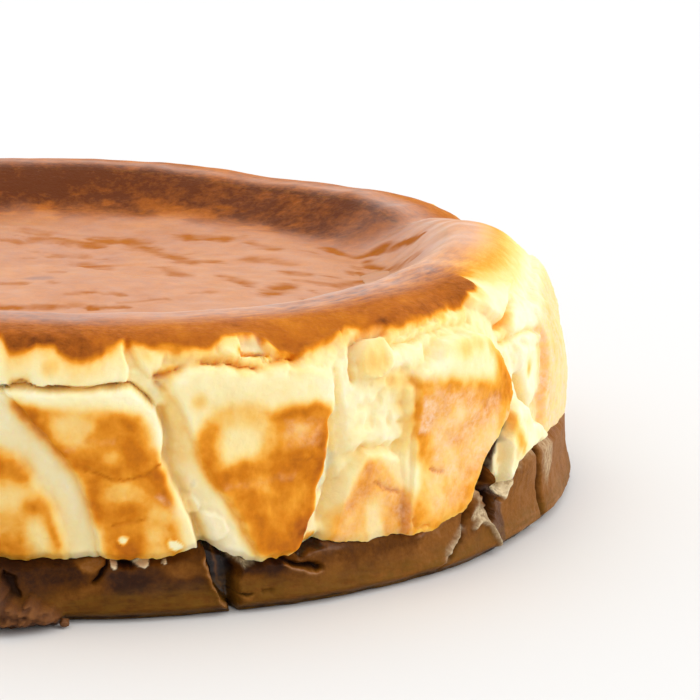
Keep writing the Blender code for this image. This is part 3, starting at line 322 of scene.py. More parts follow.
# Browning at the front, painted in this order over pale curd: a fill has an outline, a line has
# points, a spot has its middle and its half sizes in millimetres. The first number is how far it is
# baked, the second how softly it ends or how wide it is.
FRONT_BROWNING = [
    # The band under the crust and the shelf beside it
    ("spot", 0.52, 1.0, [(8.0, 46.8), (1.7, 0.5)]),
    ("spot", 0.50, 1.2, [(-2.4, 44.0), (1.9, 1.1)]),
    ("line", 0.50, 0.7, [(-6.2, 41.9), (-4.4, 42.0)]),
    ("line", 0.40, 0.8, [(6.2, 45.6), (7.4, 44.6)]),
    ("fill", 0.52, 0.8, [(7.6, 42.4), (8.9, 43.6), (10.5, 43.8), (10.0, 42.9), (8.8, 41.4), (7.9, 40.2)]),
    ("line", 0.66, 0.5, [(16.8, 45.0), (19.5, 44.8)]),
    ("fill", 0.40, 0.8, [(19.3, 43.9), (21.2, 43.6), (21.0, 42.8), (19.4, 43.0)]),
    ("line", 0.42, 0.9, [(12.6, 44.9), (15.2, 44.2), (16.6, 43.0), (19.2, 43.2), (21.4, 43.9)]),
    ("line", 0.44, 1.0, [(29.4, 46.1), (31.5, 46.0), (33.4, 45.6)]),
    ("spot", 0.58, 0.8, [(33.7, 44.3), (0.9, 0.5)]),
    ("fill", 0.36, 2.3, [(29.3, 44.0), (31.2, 45.0), (32.5, 44.6), (33.0, 41.0), (31.8, 39.4),
        (29.3, 39.6)]),
    # The left block
    ("fill", 0.63, 2.5, [(-6.1, 38.4), (-3.4, 37.3), (0.9, 37.2), (5.1, 36.9), (6.3, 35.9), (7.3, 33.4),
        (7.9, 30.6), (8.4, 27.7), (9.4, 21.5), (9.9, 18), (10.4, 13), (10.2, 10), (2.6, 10), (2.5, 15.3),
        (1.9, 18.1), (0.5, 24.5), (-0.8, 28), (-2.4, 31.5), (-3.8, 35.2)]),
    ("line", 0.80, 1.3, [(-5.4, 37.4), (-4.0, 35.0), (-2.6, 32.0), (-1.0, 29.4), (0.4, 27.9)]),
    ("line", 0.80, 0.7, [(-5.8, 38.0), (-3.6, 37.0), (-1.4, 36.9)]),
    ("fill", 0.32, 3.4, [(-2.6, 35.5), (-1.4, 36.5), (0.5, 36.6), (1.7, 35.7), (2.0, 34.0), (0.9, 32.9),
        (-1.0, 32.7), (-2.0, 33.4)]),
    ("fill", 0.72, 2.9, [(2.2, 36.4), (3.8, 36.8), (5.3, 36.0), (5.4, 32.8), (3.6, 32.3), (2.4, 33.9)]),
    ("fill", 0.74, 3.8, [(0.4, 30.4), (2.6, 30.2), (5.0, 31.8), (6.8, 31.4), (7.6, 29.6), (7.9, 27.8),
        (6.8, 26.4), (5.2, 25.8), (3.4, 25.8), (1.2, 27.4)]),
    ("spot", 0.42, 1.6, [(3.6, 29.2), (1.6, 1.3)]),
    ("spot", 0.50, 1.6, [(1.0, 31.4), (2.2, 0.8)]),
    ("line", 0.80, 1.2, [(1.8, 24.2), (1.9, 21.0), (2.4, 18.2)]),
    ("fill", 0.42, 3.2, [(2.9, 24.5), (6.4, 24.0), (6.6, 21.5), (4.8, 20.9), (3.1, 22.0)]),
    ("fill", 0.76, 2.9, [(3.3, 20.7), (6.0, 20.6), (6.2, 18.3), (3.7, 17.7)]),
    ("line", 0.82, 1.1, [(7.9, 26.4), (8.5, 24.0), (9.0, 21.6)]),
    ("fill", 0.46, 2.6, [(6.8, 21.0), (9.2, 20.0), (10.0, 17.6), (9.0, 17.4), (7.2, 18.6)]),
    ("spot", 0.82, 1.0, [(8.4, 17.5), (0.8, 0.4)]),
    ("spot", 0.84, 1.0, [(9.5, 16.7), (0.9, 0.6)]),
    ("fill", 0.76, 2.9, [(3.7, 15.8), (6.4, 15.8), (6.4, 10.4), (4.0, 10.4)]),
    ("fill", 0.44, 3.2, [(6.8, 16.8), (8.8, 16.0), (9.6, 13.0), (9.2, 10.8), (7.4, 10.7)]),
    ("fill", 0.66, 2.0, [(8.8, 15.0), (9.9, 14.6), (10.2, 10.6), (9.3, 10.6)]),
    ("spot", 0.05, 0.5, [(4.6, 14.7), (0.9, 0.5)]),
    ("spot", 0.03, 0.5, [(9.5, 13.6), (1.1, 0.9)]),
    ("line", 0.78, 0.22, [(0.9, 27.1), (2.5, 26.2), (3.6, 25.2), (5.2, 25.1), (6.8, 25.7), (8.4, 27.5)]),
    ("line", 0.78, 0.22, [(3.5, 16.9), (5.2, 17.6), (6.8, 18.1)]),
    ("line", 0.18, 0.8, [(8.9, 29.6), (8.7, 27.4), (9.4, 24.6), (10.4, 20.4), (11.4, 16), (12.2, 12)]),
    # The next block to its left
    ("fill", 0.48, 3.8, [(-17, 30), (-8, 30.2), (-6.3, 29.8), (-5.1, 28.8), (-4.1, 25.8), (-2.2, 22.2),
        (-0.7, 16), (-0.5, 12.4), (-0.9, 8), (-17, 8)]),
    ("fill", 0.68, 2.9, [(-17, 29.4), (-7.2, 29.8), (-6.3, 29.5), (-5.1, 28.4), (-4.2, 26.2),
        (-4.5, 24.8), (-7.2, 25.2), (-17, 24.8)]),
    ("fill", 0.28, 3.8, [(-11, 24), (-7.2, 23.9), (-5.3, 24.0), (-4.7, 21.2), (-5.3, 19.4), (-9, 19.8)]),
    ("fill", 0.74, 2.2, [(-4.9, 20.5), (-3.4, 21.3), (-2.2, 20.6), (-2.4, 18.7), (-3.9, 18.8)]),
    ("fill", 0.22, 2.6, [(-4.5, 17.7), (-3.0, 18.3), (-2.3, 16.7), (-2.3, 12.6), (-3.7, 12.3),
        (-4.7, 14.2)]),
    ("line", 0.74, 0.7, [(-3.0, 18.8), (-2.2, 17.2), (-1.6, 15.3), (-1.4, 13.6)]),
    ("fill", 0.68, 3.2, [(-17, 15), (-7.3, 15.2), (-5, 15), (-4.0, 12.2), (-4.4, 8), (-17, 8)]),
    ("line", 0.16, 1.1, [(-3.4, 24.6), (-1.8, 21.4), (-0.4, 16), (-0.1, 12)]),
    ("spot", 0.62, 1.0, [(-1.5, 11.6), (1.2, 0.6)]),
    # The middle block
    ("fill", 0.70, 2.2, [(12.5, 34.7), (12.3, 29.5), (13.0, 25.9), (14.2, 22.5), (15.5, 19.8),
        (16.3, 16.9), (17.2, 13.1), (17.8, 10.8), (19.4, 9.2), (21.2, 8.8), (22.7, 10.6), (23.6, 13.4),
        (24.6, 17.5), (24.7, 23.3), (25.5, 26.6), (25.9, 34.2), (21.7, 36.0), (19.1, 35.0), (16.4, 34.8)]),
    ("fill", 0.44, 3.2, [(13.3, 37.1), (16, 37.4), (19.1, 36.6), (19.3, 34.2), (16, 34.2), (13.3, 34.9)]),
    ("line", 0.88, 0.9, [(19.3, 34.9), (20.8, 35.6), (22.6, 35.9), (24.6, 35.6), (25.7, 34.9)]),
    ("line", 0.78, 1.3, [(12.5, 31.6), (12.5, 29.4), (13.1, 26.2), (14.1, 23.8)]),
    ("fill", 0.16, 3.6, [(14.2, 33.7), (16.4, 34.1), (18.7, 33.2), (19.1, 30.5), (18.3, 28.3),
        (16.4, 27.2), (14.8, 26.0), (14.0, 27.8)]),
    ("line", 0.50, 1.0, [(19.4, 32.8), (19.7, 30.2), (19.0, 28.0)]),
    ("line", 0.80, 1.0, [(14.0, 23.9), (15.6, 25.2), (17.6, 25.8), (19.6, 26.4)]),
    ("fill", 0.60, 4.1, [(20.4, 33.4), (22.4, 34.2), (24.6, 33.4), (24.7, 29.4), (24, 27.4), (21.0, 28.6)]),
    ("line", 0.84, 0.9, [(25.3, 32), (25.1, 28), (24.4, 24.4)]),
    ("line", 0.84, 0.24, [(21.8, 26.8), (23.6, 26.5), (25.2, 25.8)]),
    ("spot", 0.60, 1.8, [(19.6, 19.4), (2.2, 2.6)]),
    ("spot", 0.80, 1.3, [(17.0, 21.4), (1.6, 1.4)]),
    ("line", 0.78, 0.8, [(23.9, 20.5), (23.8, 16.5), (22.9, 13.0)]),
    ("line", 0.54, 0.9, [(15.2, 20.2), (16.4, 16.4), (17.4, 12.8)]),
    ("spot", 0.82, 1.0, [(20.8, 11.2), (1.6, 0.9)]),
    ("spot", 0.42, 1.3, [(12.0, 38.1), (1.3, 1.5)]),
    ("line", 0.30, 1.8, [(9.4, 38.5), (10.1, 33), (10.3, 28)]),
    ("line", 0.16, 0.5, [(26.2, 36), (25.9, 30), (25.5, 26), (25.0, 22), (24.9, 17)]),
    ("spot", 0.62, 0.5, [(24.5, 11.4), (1.4, 1.0)]),
    # The low patch
    ("fill", 0.48, 2.5, [(30.8, 25.1), (32.6, 24.4), (34.8, 22.8), (35.8, 20.1), (36.5, 17.2), (36.6, 8),
        (25.5, 8), (26.8, 13.7), (28.4, 17.7), (29.1, 21.1)]),
    ("fill", 0.56, 2.6, [(30.4, 24.4), (32.4, 23.6), (34.4, 22.6), (35.0, 19.6), (32, 18.8), (29.6, 20.2)]),
    ("spot", 0.50, 0.7, [(33.5, 20.4), (2.0, 2.2)]),
    ("line", 0.76, 0.30, [(31.8, 20.4), (33.0, 18.5), (34.9, 17.7)]),
    ("fill", 0.40, 3.2, [(30, 17.4), (33, 17.2), (33.4, 13.6), (30.4, 13.4)]),
    ("fill", 0.20, 1.0, [(31.0, 15.9), (32.2, 16.3), (33.7, 9.4), (31.6, 9.4)]),
    ("line", 0.68, 0.8, [(35.6, 17), (36, 13), (35.8, 10)]),
    ("line", 0.66, 0.9, [(28.8, 16.8), (27.6, 13.6), (27, 11)]),
    # The raw shelf's lumps
    ("line", 0.34, 1.0, [(34.9, 33.4), (35.5, 29), (35.6, 25)]),
    ("spot", 0.30, 1.3, [(35.0, 35.6), (1.6, 1.6)]),
    # The right block
    ("fill", 0.52, 2.6, [(36.1, 37.8), (38.4, 37.5), (40.8, 37.5), (45.8, 35.6), (49.5, 34.4),
        (52.4, 32.0), (53.2, 28.0), (51.4, 24.4), (48.9, 19.0), (46.9, 14.9), (45.3, 10.8), (44.6, 8),
        (36.0, 8), (36.2, 14), (37.6, 18.0), (37.6, 21.3), (36.6, 24.1), (36.9, 27.0), (36.0, 30.0),
        (36.3, 33.8)]),
    ("fill", 0.60, 3.5, [(40.6, 36.4), (45.8, 35.2), (49.5, 33.6), (50.2, 30.6), (47.4, 29.4),
        (44.8, 31.6), (41.7, 32.6)]),
    ("line", 0.66, 0.8, [(36.4, 34.3), (36.4, 30.0), (37.1, 26.2), (37.4, 23.0)]),
    ("fill", 0.38, 2.9, [(32.6, 39.1), (34.5, 39.5), (36.3, 38.8), (36.1, 36.8), (33.6, 36.4),
        (32.6, 37.4)]),
    ("line", 0.62, 0.8, [(36.2, 37.6), (38.2, 36.4), (40.4, 36.0)]),
    ("fill", 0.50, 2.9, [(40.1, 41.8), (43.2, 42.2), (47.0, 41.4), (45.9, 39.9), (42.2, 40.4)]),
    ("fill", 0.66, 2.4, [(47.1, 40.8), (49.2, 39.5), (51.0, 36.2), (52.6, 31.6), (52.4, 28.1),
        (50.5, 27.4), (49.2, 30.6), (48.6, 34.2), (47.6, 37.6)]),
    ("line", 0.76, 0.8, [(48.4, 38.4), (49.6, 35.6), (50.8, 32.4), (51.4, 29.6)]),
    ("fill", 0.12, 2.9, [(41.2, 38.3), (44.0, 39.2), (48.1, 38.3), (48.2, 36.2), (45.8, 35.8),
        (42.4, 36.8)]),
    ("spot", 0.26, 1.0, [(42.2, 29.8), (1.9, 2.0)]),
    ("fill", 0.34, 3.5, [(46.0, 26.9), (48.9, 26.3), (49.6, 23.8), (48.2, 21.7), (45.8, 22.1)]),
    ("fill", 0.42, 3.8, [(39.9, 23.6), (45.1, 21.9), (44.9, 18.8), (40.2, 20.9)]),
    ("line", 0.60, 1.0, [(39.4, 17.2), (42.6, 14.4), (45.0, 13.4)]),
    ("fill", 0.44, 2.6, [(37.6, 17.6), (39.6, 16.8), (41.6, 13.6), (39.6, 12.6), (37.6, 14)]),
    ("fill", 0.42, 2.6, [(38.8, 30.8), (42.0, 30.6), (42.4, 27.0), (39.2, 26.8)]),
    ("line", 0.16, 1.1, [(33.0, 24.6), (34.8, 21.4), (36.2, 18.6)]),
    ("line", 0.76, 0.32, [(38.8, 20.4), (40.6, 19.9)]),
    ("fill", 0.48, 1.0, [(36.4, 11.5), (38.4, 12.0), (39.4, 8.8), (37.3, 8.8)]),
    # The folds and the last blocks at the right
    ("fill", 0.34, 1.4, [(52.4, 41.8), (54.6, 43.4), (56.4, 43.8), (55.8, 42.0), (54.0, 41.2)]),
    ("line", 0.44, 0.7, [(53.0, 42.0), (54.6, 43.2), (56.0, 43.8)]),
    ("spot", 0.36, 1.6, [(54.8, 39.8), (1.8, 1.2)]),
    ("line", 0.56, 1.3, [(53.0, 26.8), (53.6, 23.5), (54.4, 20.5), (55.6, 18.0)]),
    ("fill", 0.34, 2.6, [(61.0, 39.4), (60.4, 33), (60.8, 24), (62, 18.5), (68, 15), (80, 15), (88, 20),
        (86, 38), (66, 41)]),
    ("line", 0.44, 2.0, [(62.8, 37), (62.6, 31), (63.4, 25), (64.4, 20)]),
    ("spot", 0.46, 1.6, [(66.4, 33), (1.6, 3.2)]),
    ("line", 0.32, 2.0, [(66, 41), (70, 40), (74, 36)]),
    ("fill", 0.38, 2.4, [(66, 40), (68.4, 42.4), (74, 43.6), (79, 44.4), (92, 43), (92, 30), (66, 30)]),
    ("spot", 0.50, 0.6, [(58.5, 32.6), (0.6, 1.5)]),
    ("line", 0.32, 1.0, [(57.7, 26.5), (59.4, 23.9), (62.1, 22.4)]),
    ("line", 0.12, 1.6, [(56.8, 23.5), (60.4, 20.0), (62.6, 17.2)]),
]
# Greyish curd deep in the folds and valleys, painted in the same way: moister curd, and painted shade where
# the folds are deepest
FRONT_MOIST_AND_SHADE = [
    ("fill", 0.22, 2.2, [(-6.8, 39.0), (-3.4, 32.9), (-1.0, 28.0), (0.9, 23.5), (1.9, 15.6), (1.3, 12.0),
        (-0.4, 12.8), (-2.0, 21.0), (-4.1, 25.8), (-6.5, 31.3), (-17, 33), (-17, 38)]),
    ("fill", 0.60, 1.2, [(12.4, 19.5), (13.8, 19.7), (15.7, 15.9), (15.6, 12.4), (14.1, 12.6),
        (12.8, 14.8)]),
    ("line", 0.45, 1.5, [(9.4, 32.0), (9.8, 28.0), (10.8, 23.5), (12.4, 19.0)]),
    ("spot", 0.90, 0.6, [(11.7, 23.7), (0.5, 0.4)]),
    ("fill", 0.70, 0.8, [(17.0, 45.2), (19.2, 45.2), (19.1, 47.2), (17.1, 47.2)]),
    ("fill", 0.55, 0.9, [(7.0, 41.4), (8.0, 42.4), (9.0, 42.0), (8.6, 40.0), (7.6, 38.6)]),
    ("line", 0.60, 0.8, [(33.6, 45.9), (31.6, 45.9), (30.2, 45.2), (29.2, 43.0)]),
    ("fill", 1.15, 1.3, [(25.4, 28.0), (26.8, 27.4), (28.1, 23.2), (27.9, 19.4), (27.0, 17.3),
        (25.8, 17.2), (25.2, 22.1)]),
    ("fill", 0.25, 1.6, [(28.2, 25.0), (28.0, 17.8), (25.4, 12.6), (23.8, 12.0), (24.9, 16.1)]),
    ("spot", 0.75, 1.0, [(58.2, 25.6), (1.5, 1.3)]),
    ("line", 0.50, 0.7, [(56.4, 33.4), (56.6, 29.5)]),
    ("line", 0.50, 1.0, [(57.9, 27.0), (59.2, 24.4), (61.5, 23.0)]),
]
# Dry, pinkish-white flakes of skin
FRONT_FLAKES = [
    ("fill", 0.85, 1.4, [(36.8, 34.8), (39.3, 34.0), (39.9, 30.7), (38.9, 27.2), (37.0, 28.3)]),
    ("line", 0.70, 0.5, [(36.2, 39.0), (37.5, 38.1), (38.4, 37.2)]),
    ("fill", 0.60, 2.6, [(38.5, 35.6), (44, 34), (49, 31), (49, 22), (44, 16), (39, 20)]),
    ("fill", 0.45, 2.6, [(38.6, 20.0), (43.6, 18.6), (44.2, 13.0), (39.0, 12.6)]),
    ("fill", 0.40, 0.8, [(50.5, 28.0), (52.2, 26.4), (51.0, 24.6), (50.1, 26.0)]),
    ("spot", 0.55, 0.8, [(33.5, 20.4), (1.9, 2.1)]),
    ("fill", 0.35, 2.2, [(28.0, 18), (30.8, 25.0), (35.4, 23.0), (36.6, 16), (36.6, 9), (27.4, 9)]),
    ("fill", 0.80, 3.4, [(61.2, 41), (60.6, 33), (60.8, 24), (62.6, 17), (72, 14), (92, 14), (97, 38),
        (86, 45), (68, 44)]),
    ("line", 0.12, 0.50, [(-0.8, 30.8), (0.5, 32.0), (2.1, 31.7), (3.6, 32.1)]),
    ("line", 0.50, 0.45, [(8.0, 22.1), (8.7, 21.0), (9.4, 20.6)]),
    ("line", 0.30, 0.40, [(9.3, 20.4), (10.2, 19.6)]),
    ("line", 0.15, 0.45, [(14.8, 23.4), (17.5, 23.3), (20.1, 24.0), (21.9, 23.7)]),
    ("fill", 0.30, 2.0, [(21, 34), (24.6, 33.4), (24.4, 29), (21.2, 29.6)]),
]
# Painted shade, near black, deep in the deepest fold, as dark as the chocolate below it
FRONT_CREVICE_SHADE = [
    ("fill", 1.0, 0.9, [(52.6, 26.4), (51.5, 23.3), (50.5, 20.8), (49.2, 18.8), (48.0, 16.5), (47.6, 12),
        (52.2, 9), (51.8, 13), (51.4, 17), (52.4, 20.5), (53.0, 24)]),
    ("line", 1.0, 0.4, [(53.4, 28.8), (52.8, 26.4)]),
]
# How far the crust is baked round the rim, and its darkest blisters
CRUST_TONE = [
    (-30, 0.89), (-2, 0.92), (7, 0.87), (20, 0.85), (34, 0.86), (46, 0.88), (52, 0.89), (60, 0.85),
    (90, 0.84), (120, 0.88), (200, 0.90), (300, 0.89)
]
RIM_BROWNING = [
    ("spot", 0.99, 0.9, [(-4.0, 46.6), (0.9, 0.45)]),
    ("spot", 0.99, 0.9, [(-2.7, 46.6), (0.8, 0.4)]),
    ("spot", 0.94, 1.4, [(-5.6, 46.2), (1.0, 0.9)]),
    ("spot", 0.90, 1.2, [(-8.2, 47.8), (1.9, 0.5)]),
    ("spot", 0.91, 1.2, [(0.5, 45.6), (2.8, 0.7)]),
    ("line", 0.92, 0.5, [(-1.4, 45.6), (0.2, 44.9), (1.4, 45.0), (2.6, 45.8)]),
    ("spot", 0.88, 1.4, [(22.8, 45.4), (2.4, 0.8)]),
    ("spot", 0.90, 1.4, [(36.4, 47.6), (4.0, 0.7)]),
    ("line", 0.91, 0.9, [(44.6, 48.0), (48.4, 47.8), (50.6, 48.2)]),
    ("spot", 0.97, 0.8, [(34.6, 47.4), (1.2, 0.4)]),
]

# Browner streaks and blisters on the sunken top: half width, strength, points as x and y
STREAKS = [
    (3.1, 0.9, [(-8, 25), (-3, 25), (2, 22)]),
    (3.3, 1.0, [(3, 19), (7, 27), (11, 29), (13, 25), (14, 18)]),
    (2.3, 1.0, [(14, 19), (17, 14), (21, 9)]),
    (1.9, 0.7, [(-4, 9), (2, 8)]),
    (2.5, 0.6, [(-10, 34), (-7, 31)]),
    (2.3, 0.6, [(-16, 24), (-10, 20)]),
    (2.0, 0.8, [(1, 1), (6, 0)]),
    (1.5, 0.7, [(-14, -16), (-10, -16)]),
    (2.2, 0.8, [(18, 0), (21, -7)]),
    (3.8, 1.0, [(24, 31), (31, 30)]),
    (1.9, 0.8, [(23, 7), (28, 8)]),
    (2.2, 0.7, [(37, 24), (42, 19)]),
    (2.3, 0.8, [(37, 8), (40, 8)]),
    (1.8, 0.8, [(30, -8), (34, -17)]),
    (1.1, 0.8, [(-2, -28), (3, -26), (9, -27)]),
    (2.2, 1.3, [(-13, -38), (-9, -37), (-4, -38)]),
    (1.4, 0.6, [(-3, -37), (1, -37)]),
    (1.5, 1.2, [(3, -38), (9, -38)]),
    (1.0, 0.7, [(9, -33), (17, -31)]),
    (1.2, 0.6, [(23, -26), (26, -26)]),
    (2.3, 1.0, [(37, -29), (41, -19)]),
    (1.8, 1.0, [(42, -5), (47, -7)]),
    (1.8, 0.9, [(44, -14), (50, -17)]),
    (1.9, 1.1, [(52, -18), (56, -12)]),
    (1.5, 1.0, [(53, 21), (58, 12)]),
    (1.9, 1.2, [(61, 14), (65, 10), (69, 5)]),
    (1.6, 1.0, [(60, 6), (62, -1)]),
    (1.6, 0.9, [(58, -4), (61, -9)]),
    (1.5, 0.8, [(63, -5), (64, -13)]),
    (1.8, 0.5, [(41, 8), (44, 3)]),
    (1.2, 0.7, [(55, -2), (55, -6)]),
    (1.2, 0.7, [(66, -9), (67, -14)]),
    (1.1, 0.7, [(50, -9), (52, -10)]),
    (1.1, 0.6, [(57, 2), (58, 0)]),
]
# A nearly burnt blister: middle and half sizes
BURNT_BLISTER = (-7.0, -11.5, 3.0, 1.9)
STREAK_COUNT = 76  # with the scattered ones
SCATTER_RADIUS = 64.0

# Marks at least as soft as this, in millimetres, are blurred after they are painted
CRISP = 0.6

# The fallen crumb: angle, distance from the axis, height, half size, and its colour values
CRUMB_PLACE = (-0.9, 103.2, 0.8, 1.0)
CRUMB_VALUES = {"tone": 0.44, "tan": 0.2, "smear": 0.0, "wet": 0.3, "crag": 1.0}

# The net of points: fine where the wall faces the front, coarser behind
FINE_FROM = -16.0
FINE_TO = 100.0
SIDE_COLUMNS = (740, 560)
TOP_COLUMNS = (460, 300)
CHOCOLATE_COLUMNS = (720, 500)
WALL_ROWS = 88
RIM_ROWS = 40
SLOPE_ROWS = 46
FLOOR_ROWS = 40
CHOCOLATE_ROWS = 64
RIM_STRETCH = 5.0  # the rim's wrinkles are this many times as long as they are wide
FOOT_STRETCH = 4.0  # and the chocolate's, along its foot
CORE_HEIGHT = 34.0  # the side net is closed at this height inside the cake
SKIN_HEIGHT = 36.0  # and the top net at this one
SEAM = 4.0  # the side net hands over to the top net this far inside the crest
SLOPE_LENGTH = 26.0  # the dish's slope has the finer rows, over this length from the crest
NOISE_CREST = 80.0  # radius of the crest where the crust's noise is read
FACING_STEP = 0.4  # which way a section faces is read over this length on both sides

# The camera of the picture: place in millimetres, turn, tilt and roll in degrees, lens in millimetres
CAMERA_PLACE = (0.0, -557.2, 158.3)
CAMERA_YAW = 5.76
CAMERA_PITCH = -13.53
CAMERA_ROLL = 1.55
CAMERA_LENS = 144.2

# The light: brightness of the surroundings before and behind the cake, and a soft key from the right
SKY_FRONT = 0.84
SKY_BACK = 1.40
KEY_FROM = (0.85, -0.10, 0.55)
KEY_STRENGTH = 1.05
# The floor, in metres: how far it runs each way, and how far it lies below the cake's foot
FLOOR_REACH = 6.0
FLOOR_DROP = 0.0002


# ---------------------------------------------------------------- form

def smooth(t):
    t = np.clip(t, 0.0, 1.0)
    return t * t * (3.0 - 2.0 * t)


def around(angle, knots):
    """The value at each angle of a curve that closes on itself and runs smoothly between its knots."""
    places = np.array([k[0] for k in knots], float)
    values = np.array([k[1] for k in knots], float)
    turned = (np.asarray(angle, float) - places[0]) % 360.0
    starts = np.append(places - places[0], 360.0)
    values = np.append(values, values[0])
    cell = np.clip(np.searchsorted(starts, turned, side="right") - 1, 0, len(starts) - 2)
    t = smooth((turned - starts[cell]) / (starts[cell + 1] - starts[cell]))
    return values[cell] * (1.0 - t) + values[cell + 1] * t


def from_middle(angle, middle):
    return (np.asarray(angle, float) - middle + 180.0) % 360.0 - 180.0


def toward(angle, middle, reach, softness):
    """1 near one side of the cake, falling to 0 this many degrees from its middle."""
    return smooth((reach - np.abs(from_middle(angle, middle))) / softness)


def grain(places, size, seed):
    """Smooth noise from -1 to 1 with bumps about size across; places is (..., 3), in millimetres."""
    cube = np.random.default_rng(seed).random((32, 32, 32)) * 2.0 - 1.0
    at = np.asarray(places, float) / size + 1000.0
    cell = np.floor(at).astype(int)
    part = at - cell
    part = part * part * (3.0 - 2.0 * part)
    total = 0.0
    for corner in range(8):
        step = np.array([corner & 1, corner >> 1 & 1, corner >> 2 & 1])
        weight = np.prod(np.where(step, part, 1.0 - part), axis=-1)
        node = (cell + step) % 32
        total = total + weight * cube[node[..., 0], node[..., 1], node[..., 2]]
    return total


def octaves(places, size, seed, count=3, gain=0.5):
    total = 0.0
    for i in range(count):
        total = total + gain ** i * grain(places, size / 2.0 ** i, seed + i)
    return total


def wall_place(angle, height):
    """Points on a plain round wall, where the noise is read."""
    turn = np.radians(angle)
    level = np.broadcast_to(height, np.shape(turn))
    return np.stack([ROUND * np.sin(turn), -ROUND * np.cos(turn), level], -1)


def near(angle, height, points, margin):
    """Which places lie close enough to a feature to be worth measuring."""
    middle = sum(p[0] for p in points) / len(points)
    reach = max(abs(p[0] - middle) for p in points) + margin / ARC
    low = min(p[1] for p in points) - margin
    high = max(p[1] for p in points) + margin
    return (np.abs(from_middle(angle, middle)) < reach) & (height > low) & (height < high)


def on_wall(angle, height, points):
    middle = sum(p[0] for p in points) / len(points)
    surface = np.stack([from_middle(angle, middle) * ARC, height], -1)
    feature = [np.array([(p[0] - middle) * ARC, p[1]]) for p in points]
    return surface, feature


def to_segment(surface, start, end):
    along = end - start
    t = np.clip(((surface - start) @ along) / (along @ along), 0.0, 1.0)
    return np.linalg.norm(surface - start - t[..., None] * along, axis=-1)


def to_line(angle, height, points, margin=8.0):
    """Distance from each place to an open line on the wall; far places are just called far."""
    away = np.full(np.shape(angle), 99.0)
    close = near(angle, height, points, margin)
    surface, line = on_wall(angle[close], height[close], points)
    away[close] = np.min([to_segment(surface, a, b) for a, b in zip(line, line[1:])], axis=0)
    return away


def into_outline(angle, height, corners, margin=8.0):
    """How deep each place lies inside a closed outline, less than nothing outside it."""
    depth = np.full(np.shape(angle), -99.0)
    close = near(angle, height, corners, margin)
    surface, loop = on_wall(angle[close], height[close], corners)
    nearest = np.full(surface.shape[:-1], np.inf)
    within = np.zeros(surface.shape[:-1], bool)
    for a, b in zip(loop, loop[1:] + loop[:1]):
        nearest = np.minimum(nearest, to_segment(surface, a, b))
        if a[1] != b[1]:
            spans = (a[1] > surface[..., 1]) != (b[1] > surface[..., 1])
            crossing = a[0] + (surface[..., 1] - a[1]) * (b[0] - a[0]) / (b[1] - a[1])
            within ^= spans & (surface[..., 0] < crossing)
    depth[close] = np.where(within, nearest, -nearest)
    return depth


def hidden_blocks():
    """Blocks round the rest of the wall, like those at the front: slanting and uneven."""
    draw = random.Random(SEED)
    blocks = []
    left = HIDDEN_FROM
    lean = 0.0
    while left < HIDDEN_TO - BLOCK_WIDTHS[0]:
        right = min(left + draw.uniform(*BLOCK_WIDTHS), HIDDEN_TO)
        top = draw.uniform(*BLOCK_TOPS)
        next_lean = draw.uniform(-5.0, 5.0)
        corners = [(left - lean, top - 2.5), (left - lean + 2.0, top),
                   ((left + right) / 2.0, top + draw.uniform(-1.5, 1.0)),
                   (right - next_lean - 2.0, top - 0.5), (right - next_lean, top - 4.0),
                   (right + draw.uniform(-0.8, 0.8), 26.0), (right + next_lean * 0.6, 8.0),
                   (left + lean * 0.6, 8.0), (left + draw.uniform(-0.8, 0.8), 25.0)]
        blocks.append((draw.uniform(*BLOCK_RAISES), draw.uniform(2.0, 3.2), corners))
        left = right + draw.uniform(*FOLD_WIDTHS)
        lean = next_lean
    return blocks


def hidden_chocolate_folds():
    draw = random.Random(SEED + 1)
    folds = []
    step = (HIDDEN_TO - HIDDEN_FROM) / HIDDEN_CHOCOLATE_FOLDS
    for i in range(HIDDEN_CHOCOLATE_FOLDS):
        place = HIDDEN_FROM + step * (i + draw.uniform(0.15, 0.85))
        lean = draw.uniform(-3.0, 3.0)
        points = [(place, 15), (place + lean * 0.4, 7), (place + lean, 0)]
        folds.append((draw.uniform(1.1, 2.2), draw.uniform(1.4, 4.0), points))
    return folds


def raised(angle, height, blocks, ragged=None):
    lift = np.zeros(np.shape(angle))
    for raise_by, softness, corners in blocks:
        depth = into_outline(angle, height, corners)
        if ragged is not None:
            depth = depth + ragged
        lift = np.maximum(lift, raise_by * smooth(depth / softness + 0.5))
    return lift


def cut(angle, height, folds):
    depth = np.zeros(np.shape(angle))
    for half_width, deep, points in folds:
        away = to_line(angle, height, points) / half_width
        depth = np.maximum(depth, deep * np.exp(-away * away))
    return depth


def lumps(angle, height, places):
    lift = np.zeros(np.shape(angle))
    for middle, up, half_width, stand_out in places:
        across = from_middle(angle, middle) * ARC
        away = np.hypot(across, height - up) / half_width
        lift = lift + stand_out * np.exp(-away * away)
    return lift


def waves(angle, height):
    turn = np.radians(angle)
    return (0.5 * np.sin(5.0 * turn + height / 11.0) + 0.4 * np.sin(9.0 * turn - height / 7.0 + 1.3)
            + 0.3 * np.sin(17.0 * turn + height / 5.0 + 0.4))


def join_at(angle):
    """Height of the ragged join where it meets the side."""
    places = wall_place(angle, 6.0)
    ragged = 0.40 * octaves(places, 2.6, 301, 2) + 0.22 * octaves(places, 1.2, 305, 2)
    return around(angle, JOIN_HEIGHT) + ragged


def tuck_at(angle):
    """How far the join is tucked in: little where the brown skin runs on over the chocolate."""
    return TUCK * (1.0 - 0.75 * toward(angle, 36.0, 11.0, 3.0))


def join_height(angle, radius):
    share = smooth((radius / WALL_RADIUS - 0.72) / 0.16)
    return MIDDLE_JOIN * (1.0 - share) + around(angle, JOIN_HEIGHT) * share


